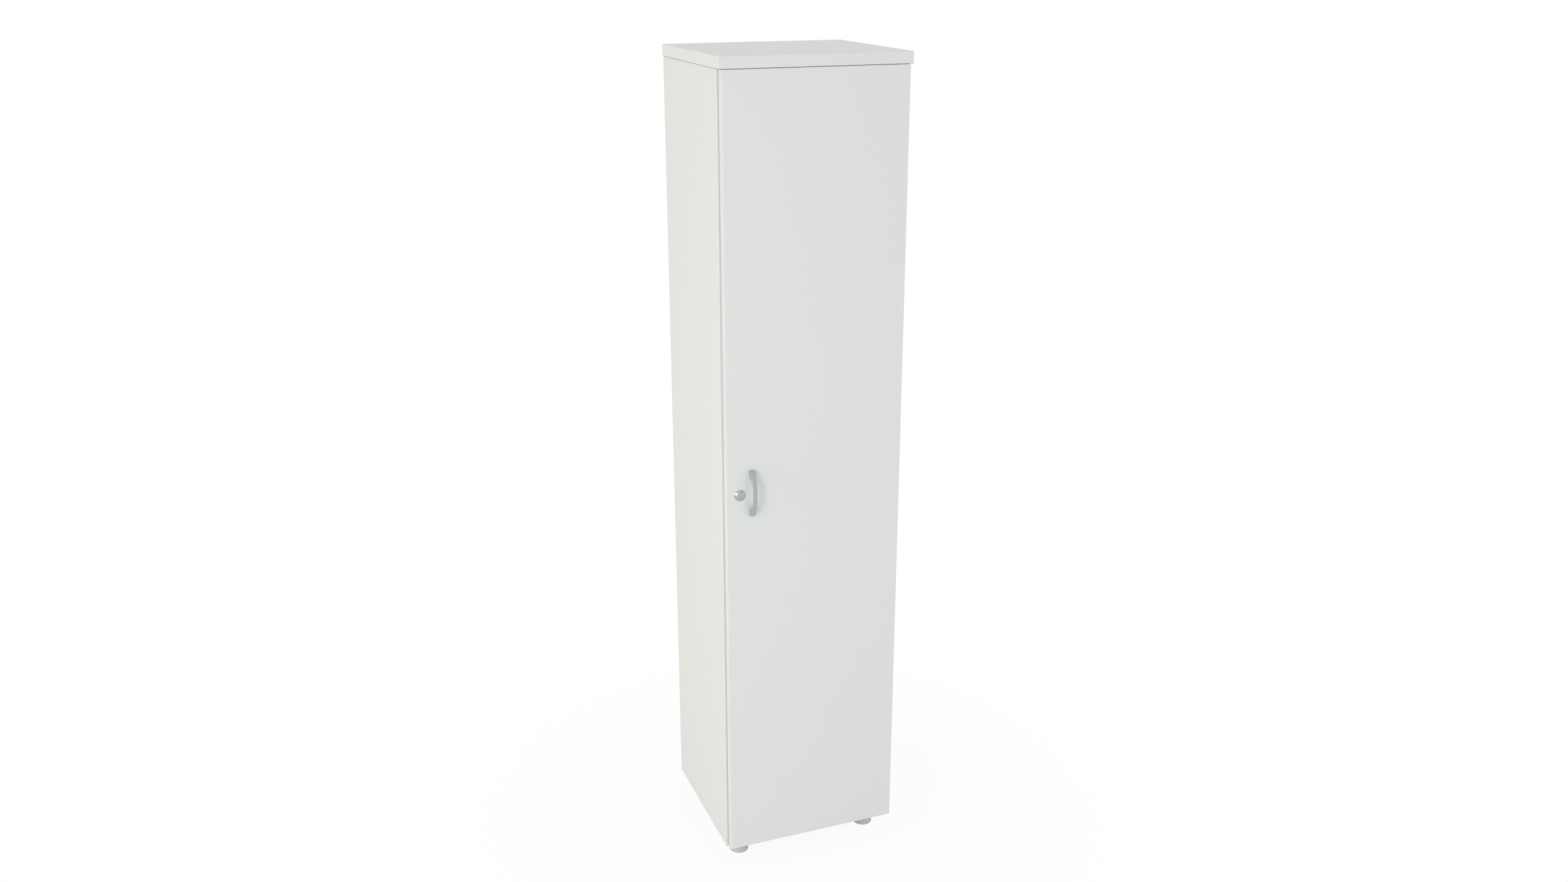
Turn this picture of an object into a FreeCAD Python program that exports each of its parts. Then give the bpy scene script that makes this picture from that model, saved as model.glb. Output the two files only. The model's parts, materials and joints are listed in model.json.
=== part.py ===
import FreeCAD, Part
import os
import re
import Sketcher

# Broom cupboard: a tall narrow cupboard of melamine-faced board, with one full-height door.
# Millimetres, +Z up, front towards -Y, +X to the right seen from the front.
# The origin is on the floor, under the middle of the overall box.

Vector = FreeCAD.Vector
doc = FreeCAD.newDocument("broom_cupboard")

# Driving sizes, one sheet cell each
sizes = {
    # Whole cupboard, without the handle
    "overall_width": 420,
    "overall_depth": 380,
    "overall_height": 1850,
    # Boards and their edging
    "top_thickness": 25,
    "board": 18,
    "back_thickness": 8,
    "edging": 2,
    "arris": 1.5,
    "top_overhang": 2,
    # Fits shared by all pieces
    "fit": 0.1,
    "running_fit": 0.05,
    "slide_clearance": 0.3,
    "overrun": 1,
    # Door in its opening
    "door_gap": 2.5,
    "door_inset": 4,
    "door_top_gap": 0.6,
    "door_lift": 5,
    # Groove for the back panel
    "groove_depth": 6,
    "groove_offset": 10,
    # Hat shelf and its pins
    "shelf_drop": 320,
    "shelf_setback": 20,
    "shelf_clearance": 0.8,
    "pin_diameter": 5,
    "pin_depth": 9,
    "pin_support": 7,
    "pin_reach": 9,
    "pin_inset": 45,
    # Cam fittings and dowels between sides, top and bottom
    "connector_inset": 60,
    "cam_diameter": 15,
    "cam_depth": 12.7,
    "cam_setback": 34,
    "cam_slot_length": 9,
    "cam_slot_width": 1.6,
    "cam_slot_depth": 2.5,
    "bolt_thread": 5,
    "bolt_thread_length": 11,
    "bolt_shank": 6,
    "bolt_neck": 4.5,
    "bolt_neck_length": 4,
    "bolt_head_length": 3,
    "bolt_channel": 7,
    "bolt_tip_gap": 0.5,
    "dowel_inset": 110,
    "dowel_diameter": 8,
    "dowel_length": 36,
    "dowel_in_panel": 11,
    "cap_diameter": 17,
    "cap_thickness": 1,
    "cap_bevel": 0.4,
    # Levelling feet
    "foot_height": 44,
    "foot_diameter": 45,
    "foot_inset": 46,
    "foot_round": 2,
    "spindle": 10,
    "spindle_top_gap": 4,
    "socket_barrel": 20,
    "socket_flange": 32,
    "socket_flange_thickness": 2,
    "hole_cap_diameter": 25,
    "hole_cap_thickness": 1.2,
    "hole_cap_plug": 2.5,
    # Door hinges: cup, pin, hooked arm and plate
    "hinge_margin": 100,
    "cup_diameter": 35,
    "cup_edge": 3,
    "cup_depth": 13.5,
    "cup_wall": 1,
    "cup_floor": 0.8,
    "cup_flange": 39,
    "cup_flange_thickness": 1.2,
    "cup_screw_offset": 9.5,
    "cup_screw_spacing": 45,
    "cup_wing": 12,
    "wing_corner": 3,
    "cup_ear": 3.8,
    "cup_ear_depth": 9,
    "pivot_inset": 7.5,
    "pivot_depth": 9,
    "pivot_pin": 3,
    "pivot_eye": 5,
    "ear_clearance": 0.4,
    "arm_thickness": 2.6,
    "arm_width": 8,
    "arm_bend": 1.2,
    "arm_reach": 58,
    "arm_body_start": 10,
    "arm_body_depth": 5,
    "arm_body_width": 18,
    "arm_corner": 3,
    "plate_base": 2,
    "plate_height": 4.7,
    "plate_setback": 37,
    "plate_depth": 18,
    "plate_screw_spacing": 32,
    "plate_end": 8,
    "plate_corner": 4,
    "rib_start": 14,
    "rib_length": 42,
    "rib_width": 12,
    "arm_screw_offset": 10,
    # Screws: shank, length in the wood, head
    "recess_depth": 1.2,
    "recess_width": 0.9,
    "plate_screw": 6,
    "plate_screw_depth": 13,
    "plate_screw_head": 10,
    "small_screw": 3.5,
    "small_screw_depth": 12,
    "small_screw_head": 7,
    "hook_screw_depth": 6,
    "arm_screw": 4,
    "arm_screw_head": 8,
    "screw_head_height": 2,
    "screw_end_gap": 0.5,
    # Bow handle
    "handle_length": 104,
    "handle_spacing": 96,
    "handle_projection": 26,
    "handle_end_depth": 7.5,
    "handle_bar": 6.5,
    "handle_boss": 10,
    "throat_slope": 14,
    "handle_waist": 7.6,
    "handle_end": 13,
    "handle_corner": 4,
    "handle_throat_round": 20,
    "handle_arris": 2,
    "handle_from_lock": 27,
    "handle_lift": 2.5,
    "handle_screw": 4,
    "handle_screw_reach": 6,
    "handle_screw_head": 8,
    # Cam lock and its catch
    "lock_height": 935,
    "lock_from_side": 16,
    "lock_flange": 25,
    "lock_flange_thickness": 4,
    "lock_bevel": 3.2,
    "lock_bevel_width": 4,
    "lock_barrel": 16,
    "lock_tail": 6,
    "lock_plug": 12,
    "plug_recess": 0.4,
    "key_slot_width": 1.4,
    "key_slot_height": 7,
    "key_slot_depth": 10,
    "nut_flats": 22,
    "nut_thickness": 3,
    "lever_play": 0.3,
    "lever_thickness": 2,
    "lever_hub": 14,
    "lever_tip": 8,
    "lever_square": 6,
    "lever_tip_gap": 0.6,
    "lever_screw": 3,
    "lever_screw_reach": 6,
    "lever_screw_head": 9,
    "catch_thickness": 2,
    "catch_length": 22,
    "catch_height": 26,
    "catch_clearance": 0.6,
    "catch_side_clearance": 1.2,
    "catch_screw_inset": 14,
    "catch_screw_spacing": 13,
    "catch_corner": 3,
    # Door buffers on the closing edge
    "buffer_diameter": 8,
    "buffer_clearance": 0.3,
    "buffer_round": 0.8,
    "buffer_margin": 60,
    # Broom hooks on the back panel
    "hook_drop": 70,
    "hook_spacing": 110,
    "hook_plate_width": 18,
    "hook_plate_height": 52,
    "hook_plate_thickness": 2.5,
    "hook_plate_round": 6,
    "hook_screw_spacing": 36,
    "hook_width": 8,
    "hook_bar": 5,
    "hook_reach": 38,
    "hook_tip": 20,
    "hook_bend": 4,
    # Wall bracket at the top of the back
    "bracket_width": 34,
    "bracket_leg": 44,
    "bracket_thickness": 2,
    "bracket_hole": 7,
    "bracket_hole_drop": 28,
    "bracket_screw_inset": 24,
    "bracket_screw_spacing": 18,
    "bracket_corner": 5,
}

# Places worked out from the sizes
places = {
    "carcass_half": "overall_width / 2 - top_overhang",
    "inner_half": "carcass_half - board",
    "side_middle": "carcass_half - board / 2",
    "back_plane": "(overall_depth + handle_projection) / 2",
    "door_front": "back_plane - overall_depth",
    "door_back": "door_front + board",
    "side_front": "door_back + door_gap",
    "side_depth": "overall_depth - board - door_gap",
    "deck": "foot_height + board",
    "ceiling": "overall_height - top_thickness",
    "side_height": "ceiling - deck",
    "door_half": "carcass_half - door_inset",
    "door_low": "foot_height + door_lift",
    "door_height": "ceiling - door_top_gap - door_low",
    "groove_back": "side_depth - groove_offset",
    "groove_front": "groove_back - back_thickness - 2 * slide_clearance",
    "panel_inset": "groove_front + slide_clearance",
    "panel_front": "side_front + panel_inset",
    "shelf_low": "ceiling - shelf_drop - board",
    "shelf_front": "shelf_setback + edging",
    "shelf_back": "panel_inset - shelf_clearance",
    "pin_height": "shelf_low - pin_support / 2 - running_fit",
    "pin_back": "shelf_back - pin_inset",
    "pin_front": "shelf_setback + pin_inset",
    "connector_back": "side_depth - connector_inset",
    "dowel_back": "side_depth - dowel_inset",
    "dowel_in_side": "dowel_length - dowel_in_panel",
    "foot_across": "carcass_half - foot_inset",
    "foot_back": "side_depth - foot_inset",
    "cup_across": "door_half - cup_edge - cup_diameter / 2",
    "pivot_across": "door_half - pivot_inset",
    "pivot_in_cup": "pivot_across - cup_across",
    "arm_outside": "inner_half - plate_height",
    "arm_drop": "pivot_across - arm_outside",
    "arm_front": "pivot_depth + door_gap",
    "arm_screw_place": "plate_setback + arm_screw_offset",
    "lock_across": "lock_from_side - inner_half",
    "lock_back": "board + lock_tail",
    "lever_front": "lock_back + lever_play",
    "lever_back": "lever_front + lever_thickness",
    "lever_swing": "lock_from_side - catch_thickness - lever_tip_gap",
    "lever_length": "sqrt(lever_swing^2 - (lever_tip / 2)^2)",
    "catch_front": "lock_tail + lever_play - catch_clearance - catch_thickness",
    "catch_reach": "lock_from_side - lock_barrel / 2 - catch_side_clearance",
    "handle_across": "lock_across + handle_from_lock",
    "handle_height": "lock_height + handle_lift",
    "handle_root": "handle_spacing / 2 - handle_boss",
    "handle_throat": "handle_root - throat_slope",
    "handle_rise": "handle_projection - handle_end_depth",
    "handle_radius": "((handle_length / 2)^2 + handle_rise^2) / (2 * handle_rise)",
    "throat_radius": "handle_radius - handle_bar",
    "throat_depth": "handle_projection - handle_radius + sqrt(throat_radius^2 - handle_throat^2)",
    "waist_rise": "(handle_end - handle_waist) / 2",
    "waist_radius": "((handle_length / 2)^2 + waist_rise^2) / (2 * waist_rise)",
    "hook_height": "shelf_low - hook_drop",
    "hook_base": "-hook_plate_height / 4",
}

sheet = doc.addObject("Spreadsheet::Sheet", "Sizes")
for row, (name, size) in enumerate(sizes.items(), 1):
    sheet.set(f"A{row}", name)
    sheet.set(f"B{row}", str(size))
    sheet.setAlias(f"B{row}", name)
doc.recompute()

# Counts and shares
hinge_count = 4
hook_count = 3
recess_length_share = 0.5
eps = 1e-4

node_objects = []


def formula(text):
    """Write a formula of size and place names out in full, as the sheet knows them."""
    def spell(match):
        word = match.group()
        if word in places:
            return "(" + formula(places[word]) + ")"
        return "Sizes." + word if word in sizes else word
    return re.sub(r"[a-z_]+", spell, text)


def number(text):
    return float(sheet.evalExpression(formula(text)))


def bind(feature, prop, text):
    feature.setExpression(prop, formula(text))


def place(piece, x, y, z, turn=None):
    """Place a piece by formulas for its origin, turned first if a rotation is given."""
    if turn:
        piece.Placement = FreeCAD.Placement(Vector(), turn)
    for axis, text in zip("xyz", (x, y, z)):
        bind(piece, f"Placement.Base.{axis}", text)
    return piece


def facing(out, up):
    """Rotation that takes local +Z to out and local +Y to up."""
    out, up = Vector(*out), Vector(*up)
    return FreeCAD.Rotation(up.cross(out), up, out, "ZYX")


# Directions that pieces face: local +Z points out of what they are driven into
face_left = facing((-1, 0, 0), (0, 0, 1))
face_right = facing((1, 0, 0), (0, 0, 1))
face_front = facing((0, -1, 0), (0, 0, 1))
face_back = facing((0, 1, 0), (0, 0, 1))
face_up = facing((0, 0, 1), (0, 1, 0))
face_down = facing((0, 0, -1), (0, 1, 0))


def new_body(name):
    return doc.addObject("PartDesign::Body", name)


def sketch_on(body, role, offset="0"):
    """Empty sketch on one of the body's own planes, moved along the plane's normal."""
    plane = next(item for item in body.Origin.OriginFeatures if item.Role == role)
    sketch = body.newObject("Sketcher::SketchObject", body.Name + "_sketch")
    sketch.AttachmentSupport = (plane, [""])
    sketch.MapMode = "FlatFace"
    bind(sketch, "AttachmentOffset.Base.z", offset)
    return sketch


def hold(sketch, geometry, point, x, y):
    """Fix a point of a sketch at formulas measured from the sketch's origin."""
    for kind, text in (("DistanceX", x), ("DistanceY", y)):
        rule = Sketcher.Constraint(kind, -1, 1, geometry, point, number(text))
        bind(sketch, f"Constraints[{sketch.addConstraint(rule)}]", text)


def outline(sketch, corners):
    """Closed outline of lines. A corner with a radius and a middle starts an arc to the next one."""
    spots = [Vector(number(corner[0]), number(corner[1]), 0) for corner in corners]
    first = sketch.GeometryCount
    ends = []
    for index, corner in enumerate(corners):
        start, stop = spots[index], spots[(index + 1) % len(spots)]
        if len(corner) == 2:
            sketch.addGeometry(Part.LineSegment(start, stop))
            ends.append((1, 2))
            continue
        middle = Vector(number(corner[3]), number(corner[4]), 0)
        geometry = sketch.addGeometry(Part.Arc(start, middle, stop))
        forward = sketch.getPoint(geometry, 1).distanceToPoint(start) < eps
        ends.append((1, 2) if forward else (2, 1))
    for index, corner in enumerate(corners):
        after = (index + 1) % len(corners)
        joined = (first + index, ends[index][1], first + after, ends[after][0])
        sketch.addConstraint(Sketcher.Constraint("Coincident", *joined))
        hold(sketch, first + index, ends[index][0], corner[0], corner[1])
        if len(corner) > 2:
            rule = Sketcher.Constraint("Radius", first + index, number(corner[2]))
            bind(sketch, f"Constraints[{sketch.addConstraint(rule)}]", corner[2])
    return sketch


def rectangle(sketch, x_low, x_high, y_low, y_high):
    return outline(sketch, [(x_low, y_low), (x_high, y_low), (x_high, y_high), (x_low, y_high)])


def circle(sketch, x, y, diameter):
    middle = Vector(number(x), number(y), 0)
    geometry = sketch.addGeometry(Part.Circle(middle, Vector(0, 0, 1), number(diameter) / 2))
    rule = Sketcher.Constraint("Diameter", geometry, number(diameter))
    bind(sketch, f"Constraints[{sketch.addConstraint(rule)}]", diameter)
    hold(sketch, geometry, 3, x, y)
    return sketch


def pad(body, sketch, length, backward=False):
    """Pad along the sketch's normal: +Z, -Y or +X. Backward pads the other way."""
    feature = body.newObject("PartDesign::Pad", body.Name + "_pad")
    feature.Profile = sketch
    feature.Reversed = backward
    bind(feature, "Length", length)
    return feature


def pocket(body, sketch, depth, forward=False):
    """Cut against the sketch's normal, or along it if forward, and make sure that it cuts."""
    doc.recompute()
    volume = body.Shape.Volume
    feature = body.newObject("PartDesign::Pocket", body.Name + "_pocket")
    feature.Profile = sketch
    feature.Reversed = forward
    bind(feature, "Length", depth)
    doc.recompute()
    if not body.Shape.Volume < volume:
        raise ValueError(f"a pocket in {body.Label} cuts nothing")
    return feature


def drill(body, role, offset, depth, holes, forward=False):
    sketch = sketch_on(body, role, offset)
    for x, y, diameter in holes:
        circle(sketch, x, y, diameter)
    return pocket(body, sketch, depth, forward)


def spin(body, corners):
    """Turned piece: an outline of radius and height, taken round the local Z axis."""
    sketch = outline(sketch_on(body, "XZ_Plane"), corners)
    feature = body.newObject("PartDesign::Revolution", body.Name + "_turned")
    feature.Profile = sketch
    feature.ReferenceAxis = (sketch, ["V_Axis"])
    feature.Angle = 360
    return feature


def round_edges(body, radius, wanted):
    doc.recompute()
    base = body.Tip
    names = [f"Edge{index}" for index, edge in enumerate(base.Shape.Edges, 1) if wanted(edge)]
    feature = body.newObject("PartDesign::Fillet", body.Name + "_rounded")
    feature.Base = (base, names)
    bind(feature, "Radius", radius)
    return feature


def lies_at(edge, **levels):
    """True for an edge that lies wholly at the given levels, such as x=0."""
    box = edge.BoundBox
    return all(
        abs(getattr(box, axis.upper() + end) - level) < eps
        for axis, level in levels.items()
        for end in ("Min", "Max")
    )


def keep(piece, label):
    piece.Label = label
    node_objects.append(piece)
    return piece


def repeat(first, spots):
    """Place a piece at the first spot and linked copies of it at the others."""
    pieces = [place(first, *spots[0])]
    for spot in spots[1:]:
        copy = doc.addObject("App::Link", first.Name + "_copy")
        copy.LinkedObject = first
        pieces.append(place(copy, *spot))
    return pieces


def group(label, pieces):
    """One node of several separate solids."""
    compound = doc.addObject("Part::Compound", label)
    compound.Links = pieces
    return keep(compound, label)


def cross(sketch, length, width):
    """Cross-shaped recess outline round the sketch's origin."""
    far, near = f"({length}) / 2", f"({width}) / 2"
    return outline(sketch, [
        (far, f"-{near}"), (far, near), (near, near), (near, far), (f"-{near}", far), (f"-{near}", near),
        (f"-{far}", near), (f"-{far}", f"-{near}"), (f"-{near}", f"-{near}"), (f"-{near}", f"-{far}"),
        (near, f"-{far}"), (near, f"-{near}"),
    ])


def screws(label, shank, length, head, spots):
    """Group of pan-head screws with a cross recess: seat at local zero, shank along local -Z."""
    one = new_body(label + "_one")
    spin(one, [
        ("0", f"-({length})"), (f"{shank} / 2", f"-({length})"), (f"{shank} / 2", "0"),
        (f"{head} / 2", "0"), (f"{head} / 2", "screw_head_height / 2"),
        (f"{head} / 2 - screw_head_height / 2", "screw_head_height"), ("0", "screw_head_height"),
    ])
    recess = sketch_on(one, "XY_Plane", "screw_head_height")
    pocket(one, cross(recess, f"{head} * {recess_length_share}", "recess_width"), "recess_depth")
    return group(label, repeat(one, spots))


def strip(name, x, y, z, outside, run=None):
    """Strip of edging, rounded on the edges of its outside face, or on those along one axis."""
    body = new_body(name)
    pad(body, rectangle(sketch_on(body, "XY_Plane", z[0]), *x, *y), f"{z[1]} - ({z[0]})")
    axis, level = outside[0], number(outside[1])

    def on_outside(edge):
        along = run is None or getattr(edge.BoundBox, run.upper() + "Length") > eps
        return along and lies_at(edge, **{axis: level})

    round_edges(body, "arris", on_outside)
    return body


def flat_edging(label, x, y, thickness, spot):
    """Edging round a lying board: front and back strips run through, the ends stand between them."""
    z = ("0", thickness)
    inner_y = (f"{y[0]} + edging", f"{y[1]} - edging")
    strips = [
        strip(label + "_front", x, (y[0], inner_y[0]), z, ("y", y[0])),
        strip(label + "_back", x, (inner_y[1], y[1]), z, ("y", y[1])),
        strip(label + "_left", (x[0], f"{x[0]} + edging"), inner_y, z, ("x", x[0]), "y"),
        strip(label + "_right", (f"{x[1]} - edging", x[1]), inner_y, z, ("x", x[1]), "y"),
    ]
    return group(label, [place(piece, *spot) for piece in strips])


# Both sides of the cupboard, as signs in formulas
hands = ("-", "")


def joint_holes(body, offset, forward):
    """Bolt and dowel holes where the sides meet the top or the bottom panel."""
    rows = [f"{hand}side_middle" for hand in hands]
    bolts = [(x, y, "bolt_thread + 2 * fit") for x in rows for y in ("connector_inset", "connector_back")]
    dowels = [(x, y, "dowel_diameter + 2 * fit") for x in rows for y in ("dowel_inset", "dowel_back")]
    drill(body, "XY_Plane", offset, "bolt_thread_length + fit", bolts, forward)
    drill(body, "XY_Plane", offset, "dowel_in_panel + fit", dowels, forward)


def panel_groove(body, offset, forward):
    sketch = sketch_on(body, "XY_Plane", offset)
    reach = "inner_half + groove_depth"
    rectangle(sketch, f"-({reach})", reach, "groove_front", "groove_back")
    pocket(body, sketch, "groove_depth", forward)


def make_top():
    spot = ("0", "side_front", "ceiling")
    x = ("-overall_width / 2", "overall_width / 2")
    y = ("-(door_gap + board)", "side_depth")
    body = keep(new_body("top_panel"), "top_panel")
    sketch = sketch_on(body, "XY_Plane")
    rectangle(sketch, f"{x[0]} + edging", f"{x[1]} - edging", f"{y[0]} + edging", f"{y[1]} - edging")
    pad(body, sketch, "top_thickness")
    joint_holes(body, "0", True)
    panel_groove(body, "0", True)
    screw_y = "panel_inset - bracket_screw_inset"
    pilots = [(f"{hand}bracket_screw_spacing / 2", screw_y, "small_screw + 2 * fit") for hand in hands]
    drill(body, "XY_Plane", "0", "small_screw_depth + fit", pilots, True)
    place(body, *spot)
    flat_edging("top_edging", x, y, "top_thickness", spot)


def make_bottom():
    spot = ("0", "side_front", "foot_height")
    x = ("-carcass_half", "carcass_half")
    y = ("0", "side_depth")
    body = keep(new_body("bottom_panel"), "bottom_panel")
    sketch = sketch_on(body, "XY_Plane")
    rectangle(sketch, f"{x[0]} + edging", f"{x[1]} - edging", f"{y[0]} + edging", f"{y[1]} - edging")
    pad(body, sketch, "board")
    joint_holes(body, "board", False)
    panel_groove(body, "board", False)
    sockets = [
        (f"{hand}foot_across", y, "socket_barrel + 2 * fit")
        for hand in hands
        for y in ("foot_inset", "foot_back")
    ]
    drill(body, "XY_Plane", "board + overrun", "board + 2 * overrun", sockets)
    place(body, *spot)
    flat_edging("bottom_edging", x, y, "board", spot)


def make_side(label, hand):
    """Side board with its holes drilled from the inner face and from both ends."""
    left = hand == "-"
    inner = ("YZ_Plane", "board" if left else "0")
    body = keep(new_body(label), label)
    pad(body, rectangle(sketch_on(body, "XY_Plane"), "0", "board", "edging", "side_depth"), "side_height")
    outside, front = number("0" if left else "board"), number("edging")
    round_edges(body, "arris", lambda edge: lies_at(edge, x=outside) and not lies_at(edge, y=front))
    rows = ("connector_inset", "connector_back")
    levels = ("cam_setback", "side_height - cam_setback")
    cams = [(y, z, "cam_diameter + 2 * fit") for y in rows for z in levels]
    drill(body, *inner, "cam_depth + slide_clearance", cams, not left)
    channels = [("board / 2", y, "bolt_channel") for y in rows]
    dowels = [("board / 2", y, "dowel_diameter + 2 * fit") for y in ("dowel_inset", "dowel_back")]
    for offset, up in (("0", True), ("side_height", False)):
        drill(body, "XY_Plane", offset, "cam_setback", channels, up)
        drill(body, "XY_Plane", offset, "dowel_in_side + fit", dowels, up)
    pins = [(y, "pin_height - deck", "pin_diameter + 2 * fit") for y in ("pin_front", "pin_back")]
    drill(body, *inner, "pin_depth + fit", pins, not left)
    groove = sketch_on(body, *inner)
    rectangle(groove, "groove_front", "groove_back", "-overrun", "side_height + overrun")
    pocket(body, groove, "groove_depth", not left)
    if left:
        y = "catch_front - door_gap + catch_screw_inset"
        catch = [
            (y, f"lock_height - deck {sign} catch_screw_spacing / 2", "small_screw + 2 * fit")
            for sign in "-+"
        ]
        drill(body, *inner, "small_screw_depth + fit", catch)
    else:
        plates = [
            ("plate_setback", f"{height} - deck {sign} plate_screw_spacing / 2", "plate_screw + 2 * fit")
            for height in hinge_heights
            for sign in "-+"
        ]
        drill(body, *inner, "plate_screw_depth + fit", plates, True)
    place(body, "-carcass_half" if left else "inner_half", "side_front", "deck")


def make_side_edging():
    one = strip("side_edging_one", ("0", "board"), ("0", "edging"), ("0", "side_height"), ("y", "0"), "z")
    spots = [("-carcass_half", "side_front", "deck"), ("inner_half", "side_front", "deck")]
    group("side_edging", repeat(one, spots))


def make_back():
    """Back panel in the grooves of sides, top and bottom, with its hook and wall screw holes."""
    reach = "groove_depth - slide_clearance"
    body = keep(new_body("back_panel"), "back_panel")
    sketch = sketch_on(body, "XY_Plane", f"-({reach})")
    rectangle(sketch, f"-(inner_half + {reach})", f"inner_half + {reach}", "0", "back_thickness")
    pad(body, sketch, f"side_height + 2 * ({reach})")
    hooks = [
        (x, f"hook_height - deck {sign} hook_screw_spacing / 2", "small_screw + 2 * fit")
        for x in hook_places
        for sign in "-+"
    ]
    drill(body, "XZ_Plane", "0", "hook_screw_depth + fit", hooks)
    wall = [("0", "side_height - bracket_hole_drop", "bracket_hole")]
    drill(body, "XZ_Plane", "overrun", "back_thickness + 2 * overrun", wall)
    place(body, "0", "panel_front", "deck")


def make_shelf():
    spot = ("0", "side_front", "shelf_low")
    x = ("-(inner_half - shelf_clearance)", "inner_half - shelf_clearance")
    body = keep(new_body("hat_shelf"), "hat_shelf")
    pad(body, rectangle(sketch_on(body, "XY_Plane"), *x, "shelf_front", "shelf_back"), "board")
    place(body, *spot)
    edge_y = ("shelf_setback", "shelf_front")
    edge = strip("hat_shelf_edging", x, edge_y, ("0", "board"), ("y", "shelf_setback"))
    keep(place(edge, *spot), "hat_shelf_edging")
    pin = new_body("shelf_pins_one")
    spin(pin, [
        ("0", "-pin_depth"), ("pin_diameter / 2", "-pin_depth"), ("pin_diameter / 2", "0"),
        ("pin_support / 2", "0"), ("pin_support / 2", "pin_reach"), ("0", "pin_reach"),
    ])
    rows = [f"side_front + {y}" for y in ("pin_front", "pin_back")]
    spots = [("-inner_half", y, "pin_height", face_right) for y in rows]
    spots += [("inner_half", y, "pin_height", face_left) for y in rows]
    group("shelf_pins", repeat(pin, spots))


def make_connectors():
    """Cam discs, their bolts and cover caps, and the dowels, two of each at every panel joint."""
    cam = new_body("cam_discs_one")
    pad(cam, circle(sketch_on(cam, "XY_Plane", "-cam_depth"), "0", "0", "cam_diameter"), "cam_depth")
    drill(cam, "XZ_Plane", "0", "cam_diameter", [("0", "-board / 2", "bolt_channel")])
    pocket(cam, cross(sketch_on(cam, "XY_Plane"), "cam_slot_length", "cam_slot_width"), "cam_slot_depth")
    bolt = new_body("cam_bolts_one")
    bolt_tip = "cam_setback - bolt_tip_gap"
    neck_end = f"{bolt_tip} - bolt_head_length"
    neck_start = f"{neck_end} - bolt_neck_length"
    spin(bolt, [
        ("0", "-bolt_thread_length"), ("bolt_thread / 2", "-bolt_thread_length"), ("bolt_thread / 2", "0"),
        ("bolt_shank / 2", "0"), ("bolt_shank / 2", neck_start), ("bolt_neck / 2", neck_start),
        ("bolt_neck / 2", neck_end), ("bolt_shank / 2", neck_end),
        ("bolt_shank / 2", bolt_tip), ("0", bolt_tip),
    ])
    cap = new_body("cam_caps_one")
    spin(cap, [
        ("0", "0"), ("cap_diameter / 2", "0"), ("cap_diameter / 2", "cap_thickness - cap_bevel"),
        ("cap_diameter / 2 - cap_bevel", "cap_thickness"), ("0", "cap_thickness"),
    ])
    dowel = doc.addObject("Part::Cylinder", "dowels_one")
    bind(dowel, "Radius", "dowel_diameter / 2")
    bind(dowel, "Height", "dowel_length")
    cam_spots, bolt_spots, dowel_spots = [], [], []
    for hand in hands:
        inward = (1, 0, 0) if hand == "-" else (-1, 0, 0)
        for row in ("connector_inset", "connector_back"):
            y = f"side_front + {row}"
            high = facing(inward, (0, 0, 1))
            low = facing(inward, (0, 0, -1))
            cam_spots.append((f"{hand}inner_half", y, "ceiling - cam_setback", high))
            cam_spots.append((f"{hand}inner_half", y, "deck + cam_setback", low))
            bolt_spots.append((f"{hand}side_middle", y, "ceiling", face_down))
            bolt_spots.append((f"{hand}side_middle", y, "deck", face_up))
        for row in ("dowel_inset", "dowel_back"):
            y = f"side_front + {row}"
            dowel_spots.append((f"{hand}side_middle", y, "ceiling - dowel_in_side"))
            dowel_spots.append((f"{hand}side_middle", y, "deck - dowel_in_panel"))
    group("cam_discs", repeat(cam, cam_spots))
    group("cam_bolts", repeat(bolt, bolt_spots))
    group("cam_caps", repeat(cap, cam_spots))
    group("dowels", repeat(dowel, dowel_spots))


def make_feet():
    """Four screw feet, the sockets that they turn in and the caps over the sockets."""
    socket = new_body("foot_sockets_one")
    bore = "spindle / 2 + fit"
    barrel_top = "board - spindle_top_gap"
    spin(socket, [
        (bore, "-socket_flange_thickness"), ("socket_flange / 2", "-socket_flange_thickness"),
        ("socket_flange / 2", "0"), ("socket_barrel / 2", "0"),
        ("socket_barrel / 2", barrel_top), (bore, barrel_top),
    ])
    cap = new_body("foot_hole_caps_one")
    spin(cap, [
        ("0", "-hole_cap_plug"), ("socket_barrel / 2", "-hole_cap_plug"), ("socket_barrel / 2", "0"),
        ("hole_cap_diameter / 2", "0"), ("hole_cap_diameter / 2", "hole_cap_thickness - cap_bevel"),
        ("hole_cap_diameter / 2 - cap_bevel", "hole_cap_thickness"), ("0", "hole_cap_thickness"),
    ])
    pad_top = "foot_height - socket_flange_thickness"
    spindle_top = "deck - spindle_top_gap"
    rim = number("foot_diameter / 2")

    def on_tread(edge):
        return lies_at(edge, z=0) and edge.BoundBox.XMax > rim - eps

    spots = []
    for depth, y in (("front", "side_front + foot_inset"), ("back", "side_front + foot_back")):
        for side, x in (("left", "-foot_across"), ("right", "foot_across")):
            spots.append((x, y))
            foot = keep(new_body(f"foot_{depth}_{side}"), f"foot_{depth}_{side}")
            spin(foot, [
                ("0", "0"), ("foot_diameter / 2", "0"), ("foot_diameter / 2", pad_top),
                ("spindle / 2", pad_top), ("spindle / 2", spindle_top), ("0", spindle_top),
            ])
            round_edges(foot, "foot_round", on_tread)
            place(foot, x, y, "0")
    group("foot_sockets", repeat(socket, [(*spot, "foot_height") for spot in spots]))
    group("foot_hole_caps", repeat(cap, [(*spot, "deck") for spot in spots]))


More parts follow.
